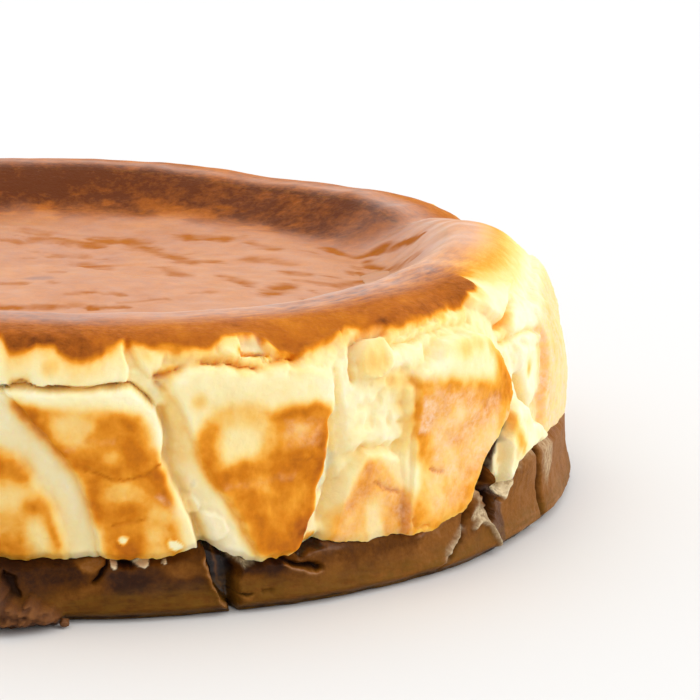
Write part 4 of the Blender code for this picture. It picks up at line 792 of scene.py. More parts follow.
def outline_at(angle):
    """The plain section at one angle, from the join up the wall and over the rim to the dish's
    middle. Its crest is a length along it, and rolled is how far it has turned over, in degrees."""
    start = float(around(angle, SHOULDER_START))
    crest = float(around(angle, CREST_HEIGHT))
    crest_radius = float(around(angle, CREST_RADIUS))
    power = 2.0 / float(around(angle, SHOULDER_POWER))
    join = float(join_at(angle)) + LAYER_GAP
    turn = np.radians(np.linspace(0.0, 90.0, 91))
    wall = np.linspace(join, start, 12)[:-1]
    shoulder_radius = crest_radius + (WALL_RADIUS - crest_radius) * np.cos(turn).clip(0.0, 1.0) ** power
    shoulder_height = start + (crest - start) * np.sin(turn).clip(0.0, 1.0) ** power
    inward = np.linspace(1.0, 0.0, 80)[1:]
    radius = crest_radius * inward
    turned = math.radians(angle)
    ripple = math.sin(2.0 * turned + 0.6) + np.sin(radius / 9.0 + 3.0 * math.sin(turned))
    wave = FLOOR_WAVE * inward * ripple
    rise = smooth(1.0 - (crest_radius - radius) / DISH_SLOPE)
    dish_height = (DISH_FLOOR + wave) * (1.0 - rise) + crest * rise
    all_radius = np.concatenate([np.full(len(wall), WALL_RADIUS), shoulder_radius, radius])
    all_height = np.concatenate([wall, shoulder_height, dish_height])
    steps = np.hypot(np.diff(all_radius), np.diff(all_height))
    length = np.concatenate([[0.0], np.cumsum(steps)])
    rolled = np.concatenate([np.zeros(len(wall)), np.degrees(turn), np.full(len(radius), 90.0)])
    return Section(all_radius, all_height, length, length[len(wall) + len(turn) - 1], rolled)


def edge_length(angle, outline):
    """Length along the section at which the crust's lower edge lies."""
    rising = outline.length <= outline.crest
    edge = float(around(angle, CRUST_EDGE))
    return float(np.interp(edge, outline.height[rising], outline.length[rising]))


def columns(counts):
    """Angles of a net's columns: many across the front, fewer behind."""
    fine, coarse = counts
    front = np.linspace(FINE_FROM, FINE_TO, fine, endpoint=False)
    back = np.linspace(FINE_TO, FINE_FROM + 360.0, coarse, endpoint=False)
    return np.concatenate([front, back])


def eased(values, angles, width):
    """Column values averaged over their neighbours within this many degrees."""
    spacing = np.gradient(angles)
    away = from_middle(angles[:, None], angles[None, :]) / width
    weights = np.exp(-away * away) * spacing[:, None]
    return (values[:, None] * weights).sum(0) / weights.sum(0)


def blurred(values, times):
    """A net of values averaged with their neighbours again and again."""
    for _ in range(times):
        wide = np.pad(values, 1, mode="edge")
        beside = wide[:-2, 1:-1] + wide[2:, 1:-1] + wide[1:-1, :-2] + wide[1:-1, 2:]
        values = (values * 2.0 + beside) / 6.0
    return values


def stretched(angle, along, stretch):
    """Points for noise whose bumps are longer round the cake than across it."""
    turn = np.radians(angle)
    reach = ROUND / stretch
    return np.stack([reach * np.sin(turn), -reach * np.cos(turn), along], -1)


def section_net(angles, lengths_at):
    """The plain surface at each angle, at the lengths along its section that lengths_at(outline, edge)
    gives: radius, height, which way it faces, the length above the crust's lower edge and below the
    crest, and how far it has rolled over."""
    rows = []
    for angle in angles:
        outline = outline_at(angle)
        edge = edge_length(angle, outline)
        wanted = lengths_at(outline, edge)

        def along(values, shift=0.0):
            return np.interp(wanted + shift, outline.length, values)

        inward = along(outline.radius, -FACING_STEP) - along(outline.radius, FACING_STEP)
        upward = along(outline.height, FACING_STEP) - along(outline.height, -FACING_STEP)
        rows.append((along(outline.radius), along(outline.height), np.arctan2(inward, upward),
                     wanted - edge, wanted - outline.crest, along(outline.rolled)))
    return tuple(np.array(values).T for values in zip(*rows))


def cells(places, size, seed):
    """Distance to the nearest of scattered points, about one per cell of this size: 0 at a point."""
    jitter = np.random.default_rng(seed).random((16, 16, 16, 3))
    at = np.asarray(places, float) / size + 1000.0
    cell = np.floor(at).astype(int)
    nearest = np.full(at.shape[:-1], 9.0)
    for corner in range(27):
        step = np.array([corner % 3, corner // 3 % 3, corner // 9]) - 1
        home = cell + step
        point = home + jitter[home[..., 0] % 16, home[..., 1] % 16, home[..., 2] % 16]
        nearest = np.minimum(nearest, np.linalg.norm(at - point, axis=-1))
    return nearest


def crumbly(angle, height):
    """Where the curd is raw and lumpy, and a little so behind."""
    behind = 0.4 * smooth((np.abs(from_middle(angle, 32.0)) - 54.0) / 6.0)
    return np.maximum(raised(angle, height, RAW_CURD), behind)


def wall_lift(angle, height, above_edge, blocks):
    """How far the pale wall stands out from its plain round form, and how deep its folds are."""
    places = wall_place(angle, height)
    ragged = 0.40 * octaves(places, 3.0, 5)
    blocky = raised(angle, height, blocks, ragged)
    folds = cut(angle, height + 0.45 * octaves(places, 2.4, 9, 2), FRONT_FOLDS)
    at_edge = np.argmin(np.abs(above_edge + 1.2), axis=0)
    over_edge = eased(blocky[at_edge, np.arange(blocky.shape[1])], angle[0], 3.5)
    blocky = mix(blocky, over_edge[None, :], smooth((above_edge + 0.8) / 2.4))
    share = crumbly(angle, height)
    between = smooth((1.6 - blocky) / 1.2)
    curd = 0.55 - cells(places, 3.4, 47)
    fine = 0.16 * octaves(places, 3.6, 31) + 0.06 * grain(places, 0.9, 33)
    fine = fine + 0.32 * between * octaves(places, 1.8, 35)
    fine = fine + share * (0.55 * curd + 0.26 * grain(places, 1.3, 41))
    pits = smooth((grain(places, 1.9, 43) - 0.45) / 0.3) * np.maximum(share, 0.4 * between)
    under = smooth((0.6 - above_edge) / 1.2)
    return blocky - folds * under + waves(angle, height) + (fine - 0.45 * pits) * under, folds * under


# ---------------------------------------------------------------- browning

def mix(value, other, mask):
    return value + (other - value) * mask


def paint(value, angle, height, marks):
    """Paints fills, lines and spots over a value, in their order."""
    for kind, other, soft, points in marks:
        if kind == "fill":
            mask = smooth(into_outline(angle, height, points) / soft + 0.5)
        elif kind == "line":
            away = to_line(angle, height, points, 4.0 * soft) / soft
            mask = np.exp(-np.clip(away, 0.0, 9.0) ** 2)
        else:
            (middle, up), (half_width, half_height) = points
            across = from_middle(angle, middle) * ARC
            away = np.hypot(across / half_width, (height - up) / half_height)
            mask = smooth((1.0 - away) * min(half_width, half_height) / soft + 0.5)
        value = mix(value, other, mask)
    return value


def blob(draw, middle, half_width, half_height):
    """A lopsided round outline on the wall, with its half sizes in millimetres."""
    corners = []
    for i in range(8):
        turn = math.pi * i / 4.0
        reach = draw.uniform(0.55, 1.2)
        corners.append((middle[0] + reach * half_width * math.cos(turn) / ARC,
                        middle[1] + reach * half_height * math.sin(turn)))
    return corners


def block_sides(corners, height):
    """Where a hidden block's left and right sides are at this height."""
    left = np.interp(height, [8.0, 25.0, corners[0][1]], [corners[7][0], corners[8][0], corners[0][0]])
    right = np.interp(height, [8.0, 26.0, corners[4][1]], [corners[6][0], corners[5][0], corners[4][0]])
    return float(left), float(right)


def patch_outline(draw, corners, low, high):
    """An uneven outline inside a hidden block, up its left side and down its right."""
    rising = []
    falling = []
    for height in np.linspace(low, high, 6):
        left, right = block_sides(corners, height)
        width = right - left
        rising.append((left + width * draw.uniform(0.02, 0.28), float(height) + draw.uniform(-1.5, 1.5)))
        falling.append((right - width * draw.uniform(0.02, 0.22), float(height) + draw.uniform(-1.5, 1.5)))
    top = ((rising[-1][0] + falling[-1][0]) / 2.0, high + draw.uniform(-2.5, 2.0))
    return rising + [top] + falling[::-1]


def patch_blobs(draw, corners, low, high, count, tone):
    """Blobs inside a hidden block's patch; tone() says how far each is baked."""
    marks = []
    for _ in range(count):
        up = draw.uniform(low + 2.0, high - 1.0)
        left, right = block_sides(corners, up)
        middle = (draw.uniform(left + 1.5, right - 1.5), up)
        value = tone()
        softness = draw.uniform(2.0, 3.6)
        outline = blob(draw, middle, draw.uniform(2.5, 8.0), draw.uniform(2.0, 6.5))
        marks.append(("fill", value, softness, outline))
    return marks


def hidden_browning(angle, height, baked):
    """Brown patches on the blocks that the front doesn't show, with pale windows and darker edges."""
    draw = random.Random(SEED + 2)
    for _, _, corners in hidden_blocks():
        high = corners[1][1] - draw.uniform(-1.0, 8.0)
        low = draw.uniform(7.0, 14.0)
        value = draw.uniform(0.50, 0.70)
        outline = patch_outline(draw, corners, low, high)
        marks = [("fill", value, draw.uniform(1.8, 3.6), outline)]
        marks += patch_blobs(draw, corners, low, high, draw.randint(1, 4), lambda: draw.uniform(0.14, 0.46))
        marks += patch_blobs(draw, corners, low, high, draw.randint(1, 2), lambda: value + 0.12)
        first = draw.randint(0, len(outline) - 5)
        marks.append(("line", value + 0.14, draw.uniform(0.7, 1.3), outline[first:first + 5]))
        left, right = block_sides(corners, 24.0)
        beside = (right + 1.2, draw.uniform(14.0, 38.0))
        marks.append(("fill", draw.uniform(0.26, 0.42), 3.0, blob(draw, beside, 2.6, draw.uniform(3.0, 8.0))))
        crease = draw.uniform(15.0, 30.0)
        bend = (left + (right - left) * draw.uniform(0.35, 0.65), crease - draw.uniform(0.5, 2.5))
        marks.append(("line", 0.80, 0.26, [(left + 2, crease), bend, (right - 3, crease + 1)]))
        baked = paint(baked, angle, height, marks)
    return baked


def warped(angle, height, places):
    """Places pushed about a little, so that nothing painted there has a drawn outline."""
    shift = 0.28 * octaves(places, 2.6, 201) + 0.10 * grain(places, 0.8, 205)
    rise = 0.55 * octaves(places, 2.8, 211) + 0.20 * grain(places, 0.9, 215)
    return angle + shift, height + rise


def side_colour(angle, height, above_edge, below_crest, lift, folds):
    """Everything painted on the side: browning, with painted shade in its hollows and folds; greyish curd in
    the folds, moister and partly painted shade; flakes; near-black painted shade in the deepest crevice; and
    crust.
    """
    places = wall_place(angle, height)
    on, up = warped(angle, height, places)
    baked = 0.09 + 0.05 * octaves(places, 9.0, 71) - 0.06 * toward(angle, 78.0, 28.0, 8.0)
    baked = paint(baked, on, up, [mark for mark in FRONT_BROWNING if mark[2] >= CRISP])
    baked = hidden_browning(on, up, baked)
    baked = blurred(baked, 7)
    # Painted shade: curd lying lower than the relief around it is made a little golden-brown, as if shaded
    painted_hollow_shade = np.clip(blurred(lift, 30) - lift, -0.5, 1.2)
    baked = baked + 0.13 * painted_hollow_shade * (1.0 - smooth(baked / 0.8))
    # Painted shade in the folds: the deeper a fold, the more golden-brown it is made
    baked = mix(baked, np.maximum(baked, 0.34), 0.8 * smooth(folds / 2.2))
    ragged = 0.42 * octaves(places, 2.2, 221)
    glow = np.exp(-np.clip(-above_edge + 1.4 * ragged, 0.0, 40.0) / 2.4)
    pale_side = toward(angle, 75.0, 23.0, 4.0)
    baked = np.maximum(baked, 0.50 * glow * (1.0 - 0.4 * pale_side))
    crust, sheen = crust_browning(angle, height, below_crest)
    crust = paint(crust, on, up, RIM_BROWNING)
    edge = smooth((above_edge + ragged) / 1.5 + 0.4)
    edge = mix(edge, smooth((above_edge + 2.0 + 3.0 * ragged) / 8.0), pale_side)
    baked = mix(baked, crust, edge)
    mottle = smooth((baked - 0.25) / 0.3) * smooth((0.95 - baked) / 0.3) * (1.0 - edge)
    baked = baked + mottle * (0.13 * octaves(places, 4.6, 81, 3, 0.6) + 0.03 * grain(places, 0.8, 85))
    baked = baked + (1.0 - edge) * 0.03 * octaves(places, 2.2, 87, 2)
    baked = paint(baked, on, up, [mark for mark in FRONT_BROWNING if mark[2] < CRISP])
    # Greyish curd in the folds: moister, and partly painted shade
    moist_and_shade = paint(np.zeros_like(baked), on, up, FRONT_MOIST_AND_SHADE)
    flakes = paint(np.zeros_like(baked), on, up, FRONT_FLAKES) * (0.75 + 0.5 * octaves(places, 1.6, 231))
    # Painted shade: near black in the deepest crevice
    dark = paint(np.zeros_like(baked), on, up, FRONT_CREVICE_SHADE)
    return {"baked": np.clip(baked, 0.0, 1.0), "moist_and_shade": moist_and_shade * (1.0 - edge),
            "flakes": np.clip(flakes, 0.0, 1.0), "dark": dark, "crust": edge, "sheen": sheen * edge}


def crust_browning(angle, height, below_crest):
    """The crust: brown all over, darkest on the rim's inner side at the back, and pale where the rim
    stands highest on the right. Returns how far it is baked and how glossy it is."""
    places = crust_place(angle, height, below_crest)
    patchy = octaves(places, 12.0, 91)
    baked = around(angle, CRUST_TONE) + 0.02 * patchy + 0.025 * octaves(places, 3.4, 97, 3, 0.7)
    back = toward(angle, 190.0, 92.0, 28.0)
    foot = 22.0 + 3.5 * octaves(places, 14.0, 101, 3, 0.6)
    inner = smooth((below_crest + 1.0) / 6.0) * smooth((foot + 9.0 - below_crest) / 16.0)
    dish = smooth((below_crest - 12.0) / 12.0)
    dish_tone = 0.83 + 0.02 * octaves(places, 9.0, 103) + 0.012 * octaves(places, 2.8, 109)
    baked = mix(baked, dish_tone, dish)
    baked = baked + back * (0.09 * inner + 0.02 * smooth((below_crest + 6.0) / 5.0))
    streaks = smooth((octaves(places, 7.0, 105, 3, 0.6) - 0.05) / 0.6)
    on_slope = smooth((below_crest - 10.0) / 6.0) * smooth((foot + 8.0 - below_crest) / 8.0)
    baked = baked - 0.07 * back * streaks * on_slope
    right = toward(angle, 75.0, 23.0, 6.0)
    drop = -below_crest + 1.4 * octaves(places, 7.0, 95, 2)
    over = toward(angle, 52.0, 14.0, 8.0) * smooth((below_crest + 3.0) / 5.0)
    baked = baked - 0.08 * over * (1.0 - dish)
    baked = mix(baked, 0.76, 0.7 * right * smooth((drop + 9.0) / 8.0))
    baked = mix(baked, 0.60, right * smooth((drop - 0.5) / 5.0))
    baked = mix(baked, 0.28, right * smooth((drop - 7.0) / 8.0))
    near_side = toward(angle, 35.0, 110.0, 40.0)
    top = smooth((below_crest + 9.0) / 8.0)
    sheen = top * (0.5 + 0.5 * near_side) * (1.0 - 0.9 * back * inner)
    sheen = mix(sheen, 0.76, dish * (1.0 - back * inner))
    sheen = sheen * (0.92 + 0.16 * octaves(places, 3.0, 107, 2) + 0.10 * patchy)
    return baked, np.clip(sheen, 0.0, 1.0)


def crust_place(angle, height, below_crest):
    """Where the crust's noise is read: the crust laid out flat, with its crest on a true circle."""
    return to_places(angle, NOISE_CREST - below_crest, height)


# ---------------------------------------------------------------- nets to meshes

def to_places(angle, radius, height):
    turn = np.radians(angle)
    return np.stack([radius * np.sin(turn), -radius * np.cos(turn), height], -1)


def closed_net(name, angles, radius, height, values, bottom_middle, top_middle, whole=True):
    """A closed mesh from rows of points that run from a lower middle point to an upper one. It goes
    the whole way round, or it is a stretch that is closed by two flat faces inside the cake. Each of
    the values is kept on the mesh under its name."""
    rows, count = radius.shape
    places = to_places(angles[None, :], radius, height).reshape(-1, 3)
    ends = np.array([[0.0, 0.0, bottom_middle], [0.0, 0.0, top_middle]])
    places = np.concatenate([places, ends]) * MM
    j = np.arange(count if whole else count - 1)
    k = (j + 1) % count
    row = (np.arange(rows - 1) * count)[:, None]
    quads = np.stack([row + j, row + k, row + count + k, row + count + j], -1).reshape(-1, 4)
    first = rows * count
    last = first + 1
    low = np.stack([np.full(len(j), first), k, j], -1)
    high = np.stack([np.full(len(j), last), (rows - 1) * count + j, (rows - 1) * count + k], -1)
    faces = quads.tolist() + low.tolist() + high.tolist()
    if not whole:
        start = np.arange(rows) * count
        faces.append([first] + start.tolist() + [last])
        faces.append([last] + (start + count - 1)[::-1].tolist() + [first])
    mesh = bpy.data.meshes.new(name)
    mesh.from_pydata(places.tolist(), [], faces)
    for key, value in values.items():
        kind, field = ("FLOAT", "value") if value.ndim == 2 else ("FLOAT_VECTOR", "vector")
        middles = np.stack([value[0].mean(0), value[-1].mean(0)])
        data = np.concatenate([value.reshape(-1, *value.shape[2:]), middles])
        mesh.attributes.new(key, kind, "POINT").data.foreach_set(field, data.astype(np.float32).ravel())
    mesh.shade_smooth()
    mesh.set_sharp_from_angle(angle=math.radians(75.0))
    mesh.update()
    piece = bpy.data.objects.new(name, mesh)
    bpy.context.scene.collection.objects.link(piece)
    return piece


def padded(value, before, after):
    """A net's values with the first and last rows repeated, for the rows hidden inside the cake."""
    return np.concatenate([np.repeat(value[:1], before, axis=0), value, np.repeat(value[-1:], after, axis=0)])


def rim_relief(angle, radius, height, above_edge, below_crest):
    """The crust's own relief, a faint lip at its lower edge and fine wrinkles along the rim, and how
    strongly it is wrinkled."""
    places = to_places(angle, radius, height)
    crust = smooth((above_edge + 0.3) / 1.2)
    lip = around(angle, [(-30, 0.25), (50, 0.3), (58, 0.0), (95, 0.0), (110, 0.25), (200, 0.3)])
    along = stretched(angle, below_crest, RIM_STRETCH)
    wrinkles = 0.10 * grain(along, 1.6, 121) + 0.05 * grain(along, 0.9, 123)
    on_rim = smooth((9.0 - np.abs(below_crest + 1.0)) / 6.0)
    busy = 0.30 + 0.70 * toward(angle, 38.0, 30.0, 14.0)
    wrinkled = crust * on_rim * busy
    return crust * (lip + 0.16 * octaves(places, 8.0, 111, 2)) + wrinkled * wrinkles, wrinkled


def cake_side(name, angles, material):
    """A stretch of the side, from the join with the chocolate up the wall and over the rim."""

    def lengths_at(outline, edge):
        wall = np.linspace(0.0, edge + 1.0, WALL_ROWS, endpoint=False)
        rim = np.linspace(edge + 1.0, outline.crest + SEAM + 1.5, RIM_ROWS)
        return np.concatenate([wall, rim])

    radius, height, lean, above_edge, below_crest, rolled = section_net(angles, lengths_at)
    turn = np.broadcast_to(angles[None, :], radius.shape)
    join = join_at(angles)[None, :] + LAYER_GAP
    lift, folds = wall_lift(turn, height, above_edge, FRONT_BLOCKS + hidden_blocks())
    values = side_colour(turn, height, above_edge, below_crest, lift, folds)
    lift = lift * smooth((80.0 - rolled) / 40.0)
    relief, values["wrinkled"] = rim_relief(turn, radius, height, above_edge, below_crest)
    values["rim_place"] = stretched(turn, below_crest, RIM_STRETCH)
    under_top = 0.5 * smooth((below_crest - SEAM) / 1.5)
    lift = lift + relief - tuck_at(turn) * smooth(1.0 - (height - join) / TUCK) - under_top
    radius = radius + lift * np.cos(lean)
    height = height + lift * np.sin(lean)

    # The underside runs in along the join, and the rest is closed inside the cake
    inner = np.array([0.4, 0.72, 0.88])
    under_radius = WALL_RADIUS * inner[:, None] * np.ones_like(angles)[None, :]
    under_height = np.stack([join_height(angles, WALL_RADIUS * share) + LAYER_GAP for share in inner])
    top_radius = np.stack([radius[-1] - 2.0, radius[-1] * 0.4])
    top_height = np.stack([height[-1] - 6.0, np.full(len(angles), CORE_HEIGHT)])
    all_radius = np.concatenate([under_radius, radius, top_radius])
    all_height = np.concatenate([under_height, height, top_height])
    values = {key: padded(value, 3, 2) for key, value in values.items()}
    values["blister"] = np.zeros_like(all_radius)
    bottom = MIDDLE_JOIN + LAYER_GAP
    piece = closed_net(name, angles, all_radius, all_height, values, bottom, CORE_HEIGHT, whole=False)
    piece.data.materials.append(material)
    return piece


def sunken_top(material):
    """The browned top inside the rim's crest, sloping down to a gently uneven floor."""
    angles = columns(TOP_COLUMNS)

    def lengths_at(outline, edge):
        foot = outline.crest + SLOPE_LENGTH
        slope = np.linspace(outline.crest + SEAM, foot, SLOPE_ROWS, endpoint=False)
        floor = np.linspace(foot, outline.length[-1] - 1.5, FLOOR_ROWS)
        return np.concatenate([slope, floor])

    radius, height, lean, above_edge, below_crest, _ = section_net(angles, lengths_at)
    turn = np.broadcast_to(angles[None, :], radius.shape)
    baked, sheen = crust_browning(turn, height, below_crest)
    blister, burnt = blisters(turn, radius)
    baked = mix(baked, 0.97, 0.7 * burnt)
    places = to_places(turn, radius, height)
    lift, wrinkled = rim_relief(turn, radius, height, above_edge, below_crest)
    dish = smooth((below_crest - 6.0) / 10.0)
    uneven = 0.14 * octaves(places, 17.0, 131, 2) - 0.08 * blister + 0.03 * octaves(places, 2.6, 133, 2)
    lift = lift + dish * uneven
    radius = radius + lift * np.cos(lean)
    height = height + lift * np.sin(lean)

    # The skin's underside, hidden in the cake
    tuck_radius = np.stack([radius[0] * 0.3, radius[0] - 12.0, radius[0]])
    level = np.full(len(angles), SKIN_HEIGHT)
    tuck_height = np.stack([level, level, height[0] - 1.5])
    all_radius = np.concatenate([tuck_radius, radius])
    all_height = np.concatenate([tuck_height, height])

    plain = np.zeros_like(radius)
    values = {"baked": baked, "blister": blister, "sheen": sheen, "crust": plain + 1.0, "moist_and_shade": plain,
              "flakes": plain, "dark": plain, "wrinkled": wrinkled,
              "rim_place": stretched(turn, below_crest, RIM_STRETCH)}
    values = {key: padded(value, 3, 0) for key, value in values.items()}
    piece = closed_net("sunken_top", angles, all_radius, all_height, values, SKIN_HEIGHT, DISH_FLOOR)
    piece.data.materials.append(material)
    return piece


def blisters(angle, radius):
    """Streaks and blisters listed where the picture shows them, and scattered ones elsewhere."""
    draw = random.Random(SEED + 5)
    x = radius * np.sin(np.radians(angle))
    y = -radius * np.cos(np.radians(angle))
    places = np.stack([x, y, np.zeros_like(x)], -1)
    worn = 0.34 * octaves(places, 2.6, 141, 3, 0.7)
    surface = np.stack([x + 0.9 * octaves(places, 6.0, 145, 2), y + 1.3 * octaves(places, 5.0, 147, 2)], -1)
    streaks = list(STREAKS)
    while len(streaks) < STREAK_COUNT:
        away = SCATTER_RADIUS * math.sqrt(draw.random())
        turn = draw.uniform(0, 2 * math.pi)
        start = (away * math.cos(turn), away * math.sin(turn))
        end = (start[0] + draw.uniform(-3, 3), start[1] + draw.uniform(-2, 2))
        hidden = start[0] < -18
        half_width = draw.uniform(0.5, 2.2 if hidden else 1.0)
        strength = draw.uniform(0.4, 1.0 if hidden else 0.6)
        streaks.append((half_width, strength, [start, end]))
    total = np.zeros_like(x)
    for half_width, strength, points in streaks:
        line = [np.array(point, float) for point in points]
        away = np.min([to_segment(surface, a, b) for a, b in zip(line, line[1:])], axis=0) / half_width + worn
        total = np.maximum(total, strength * smooth((1.55 - away) / 1.2))
    mx, my, wide, deep = BURNT_BLISTER
    burnt = smooth(1.6 - np.hypot((x - mx) / wide, (y - my) / deep) - 0.6 * worn)
    total = total * (0.95 + 0.5 * octaves(places, 3.0, 149, 2))
    return np.clip(total, 0.0, 1.3), burnt


def chocolate_layer_piece(material):
    """The chocolate under the cheesecake: folded, smooth above and wrinkled below, with a broken lump."""
    angles = columns(CHOCOLATE_COLUMNS)
    up = np.linspace(0.0, 1.0, CHOCOLATE_ROWS)[:, None]
    height = join_at(angles)[None, :] * up
    turn = np.broadcast_to(angles[None, :], height.shape)
    places = wall_place(turn, height)
    on, at = warped(turn, height, places)
    flare = (FOOT_RADIUS - CHOCOLATE_RADIUS) * smooth(1.0 - height / 9.0)
    hidden_folds = cut(turn, height, hidden_chocolate_folds())
    depth = cut(on, at, CHOCOLATE_FOLDS) + hidden_folds + raised(on, at, CHOCOLATE_PITS)
    ridges = cut(on, at, CHOCOLATE_RIDGES)
    crag = smooth(into_outline(on, at, CRAG) / 0.9 + 0.5)
    crumbled = 0.9 * (0.5 - cells(places, 2.6, 177)) + 0.6 * (0.5 - cells(places, 1.1, 179))
    crumbled = crumbled + 0.35 * grain(places, 0.6, 173)
    smears = paint(np.zeros_like(height), on, at, CHOCOLATE_SMEARS)
    lift = 0.6 * waves(turn, height) - depth + ridges + 0.4 * smears
    lift = lift + lumps(turn, height, CRAG_LUMPS) * (0.45 + 0.55 * crag) + crag * (0.6 + 1.9 * crumbled)
    wrinkled = smooth((7.5 - height) / 4.0) * (0.5 + 0.5 * toward(angles, 30.0, 16.0, 8.0))
    along = stretched(turn, height, FOOT_STRETCH)
    lift = lift + wrinkled * (0.20 * grain(along, 1.2, 151) + 0.10 * grain(along, 0.6, 153))
    lift = lift + 0.10 * octaves(places, 2.4, 161)
    tuck = tuck_at(turn) * smooth((up - 0.86) / 0.14) + FOOT_ROUND * smooth(1.0 - height / FOOT_ROUND)
    radius = CHOCOLATE_RADIUS + flare + lift - tuck

    # Brighter towards the right: partly painted light from that side
    tone = around(turn, CHOCOLATE_TONE_AND_LIGHT) + 0.05 * octaves(places, 7.0, 181)
    tan = smooth((6.6 - height + 0.8 * octaves(places, 6.0, 183, 2)) / 3.5) * (1.0 - crag)
    tone = tone + 0.05 * tan
    # On the broken lump the tone follows its crumbly relief: painted highlights on raised crumbs and painted
    # shade in the gaps
    tone = mix(tone, 0.46 + 0.50 * crumbled, crag)
    # Marks: the chocolate's own patches, painted shade in its pits, cracks and grooves, and painted
    # highlights on its ridges
    tone = paint(tone, on, at, CHOCOLATE_MARKS_SHADE_AND_HIGHLIGHTS)
    at_foot = smooth((1.1 + 0.4 * grain(places, 2.0, 185) - height) / 0.8)
    tone = mix(tone, 0.10, at_foot * (1.0 - 0.6 * crag))
    # Painted shade in the hidden folds: darker the deeper they are
    tone = mix(tone, 0.08, 0.8 * smooth(hidden_folds / 2.6))
    wet = paint(np.zeros_like(height), on, at, CHOCOLATE_WET)
    wet = np.maximum(wet, 0.5 * smooth((1.6 - height) / 0.8))

    top = np.array([0.88, 0.72, 0.3])
    top_radius = WALL_RADIUS * top[:, None] * np.ones_like(angles)[None, :]
    top_height = np.stack([join_height(angles, WALL_RADIUS * share) for share in top])
    low_radius = np.stack([radius[0] * 0.3, radius[0] * 0.9])
    low_height = np.zeros_like(low_radius)
    all_radius = np.concatenate([low_radius, radius, top_radius])
    all_height = np.concatenate([low_height, height, top_height])
    values = {"tone": tone, "tan": tan, "smear": smears, "wet": wet, "crag": crag}
    values = {key: padded(value, 2, 3) for key, value in values.items()}
    piece = closed_net("chocolate_base", angles, all_radius, all_height, values, 0.0, MIDDLE_JOIN)
    piece.data.materials.append(material)
    return piece


def crumb(name, angle, away, height, size, values, material):
    """A small broken lump: its middle's angle, distance from the axis and height, and its half size."""
    turns = np.radians(np.linspace(0.0, 360.0, 33)[:-1])
    tilts = np.radians(np.linspace(-78.0, 78.0, 15))[:, None]
    upward = np.sin(tilts) + 0.0 * turns
    across = np.stack([np.cos(tilts) * np.cos(turns), np.cos(tilts) * np.sin(turns), upward], -1)
    middle = to_places(angle, away, height)
    places = middle + across * size
    rough = 1.0 + 0.5 * (0.6 - cells(places, size * 0.9, 401)) + 0.12 * grain(places, size * 0.35, 403)
    net = across * size * rough[..., None] * np.array([1.0, 0.8, 0.7])
    radius = np.hypot(net[..., 0], net[..., 1])
    angles = np.degrees(turns)
    filled = {key: np.full(radius.shape, value) for key, value in values.items()}
    low = net[0, :, 2].mean() - 0.1 * size
    high = net[-1, :, 2].mean() + 0.1 * size
    piece = closed_net(name, angles, radius, net[..., 2], filled, low, high)
    piece.location = Vector(middle) * MM
    piece.data.materials.append(material)
    return piece


# ---------------------------------------------------------------- materials

def new_material(name):
    material = bpy.data.materials.new(name)
    material.use_nodes = True
    tree = material.node_tree
    tree.nodes.clear()
    output = tree.nodes.new("ShaderNodeOutputMaterial")
    shader = tree.nodes.new("ShaderNodeBsdfPrincipled")
    tree.links.new(shader.outputs[0], output.inputs[0])
    return material, tree, shader


def attribute(tree, name, output="Fac"):
    node = tree.nodes.new("ShaderNodeAttribute")
    node.attribute_name = name
    return node.outputs[output]


def noise(tree, scale, detail=3.0, rough_share=0.55, stretch=None, place=None):
    """Noise over object space, or over another place; scale is in bumps per unit of it."""
    place = place or tree.nodes.new("ShaderNodeTexCoord").outputs["Object"]
    if stretch:
        mapping = tree.nodes.new("ShaderNodeMapping")
        mapping.inputs["Scale"].default_value = stretch
        tree.links.new(place, mapping.inputs["Vector"])
        place = mapping.outputs[0]
    node = tree.nodes.new("ShaderNodeTexNoise")
    node.inputs["Scale"].default_value = scale
    node.inputs["Detail"].default_value = detail
    node.inputs["Roughness"].default_value = rough_share
    tree.links.new(place, node.inputs["Vector"])
    return node.outputs["Fac"]


def maths(tree, operation, first, second=None, third=None, clamp=False):
    node = tree.nodes.new("ShaderNodeMath")
    node.operation = operation
    node.use_clamp = clamp
    for socket, value in zip(node.inputs, (first, second, third)):
        if value is None:
            continue
        if isinstance(value, (int, float)):
            socket.default_value = value
        else:
            tree.links.new(value, socket)
    return node.outputs[0]


def rescale(tree, value, low, high, out_low, out_high):
    node = tree.nodes.new("ShaderNodeMapRange")
    node.inputs["From Min"].default_value = low
    node.inputs["From Max"].default_value = high
    node.inputs["To Min"].default_value = out_low
    node.inputs["To Max"].default_value = out_high
    tree.links.new(value, node.inputs["Value"])
    return node.outputs[0]


def ramp(tree, value, stops):
    node = tree.nodes.new("ShaderNodeValToRGB")
    elements = node.color_ramp.elements
    while len(elements) < len(stops):
        elements.new(0.5)
    for element, (place, colour) in zip(elements, stops):
        element.position = place
        element.color = (*colour, 1.0)
    tree.links.new(value, node.inputs[0])
    return node.outputs[0]


def blend(tree, share, first, second):
    node = tree.nodes.new("ShaderNodeMix")
    node.data_type = "RGBA"
    sockets = {"share": node.inputs[0], "a": node.inputs[6], "b": node.inputs[7]}
    for key, value in (("share", share), ("a", first), ("b", second)):
        if isinstance(value, (int, float)):
            sockets[key].default_value = value
        elif isinstance(value, tuple):
            sockets[key].default_value = (*value, 1.0)
        else:
            tree.links.new(value, sockets[key])
    return node.outputs[2]


def bump(tree, shader, height, strength, distance):
    node = tree.nodes.new("ShaderNodeBump")
    node.inputs["Strength"].default_value = strength
    node.inputs["Distance"].default_value = distance
    tree.links.new(height, node.inputs["Height"])
    tree.links.new(node.outputs[0], shader.inputs["Normal"])


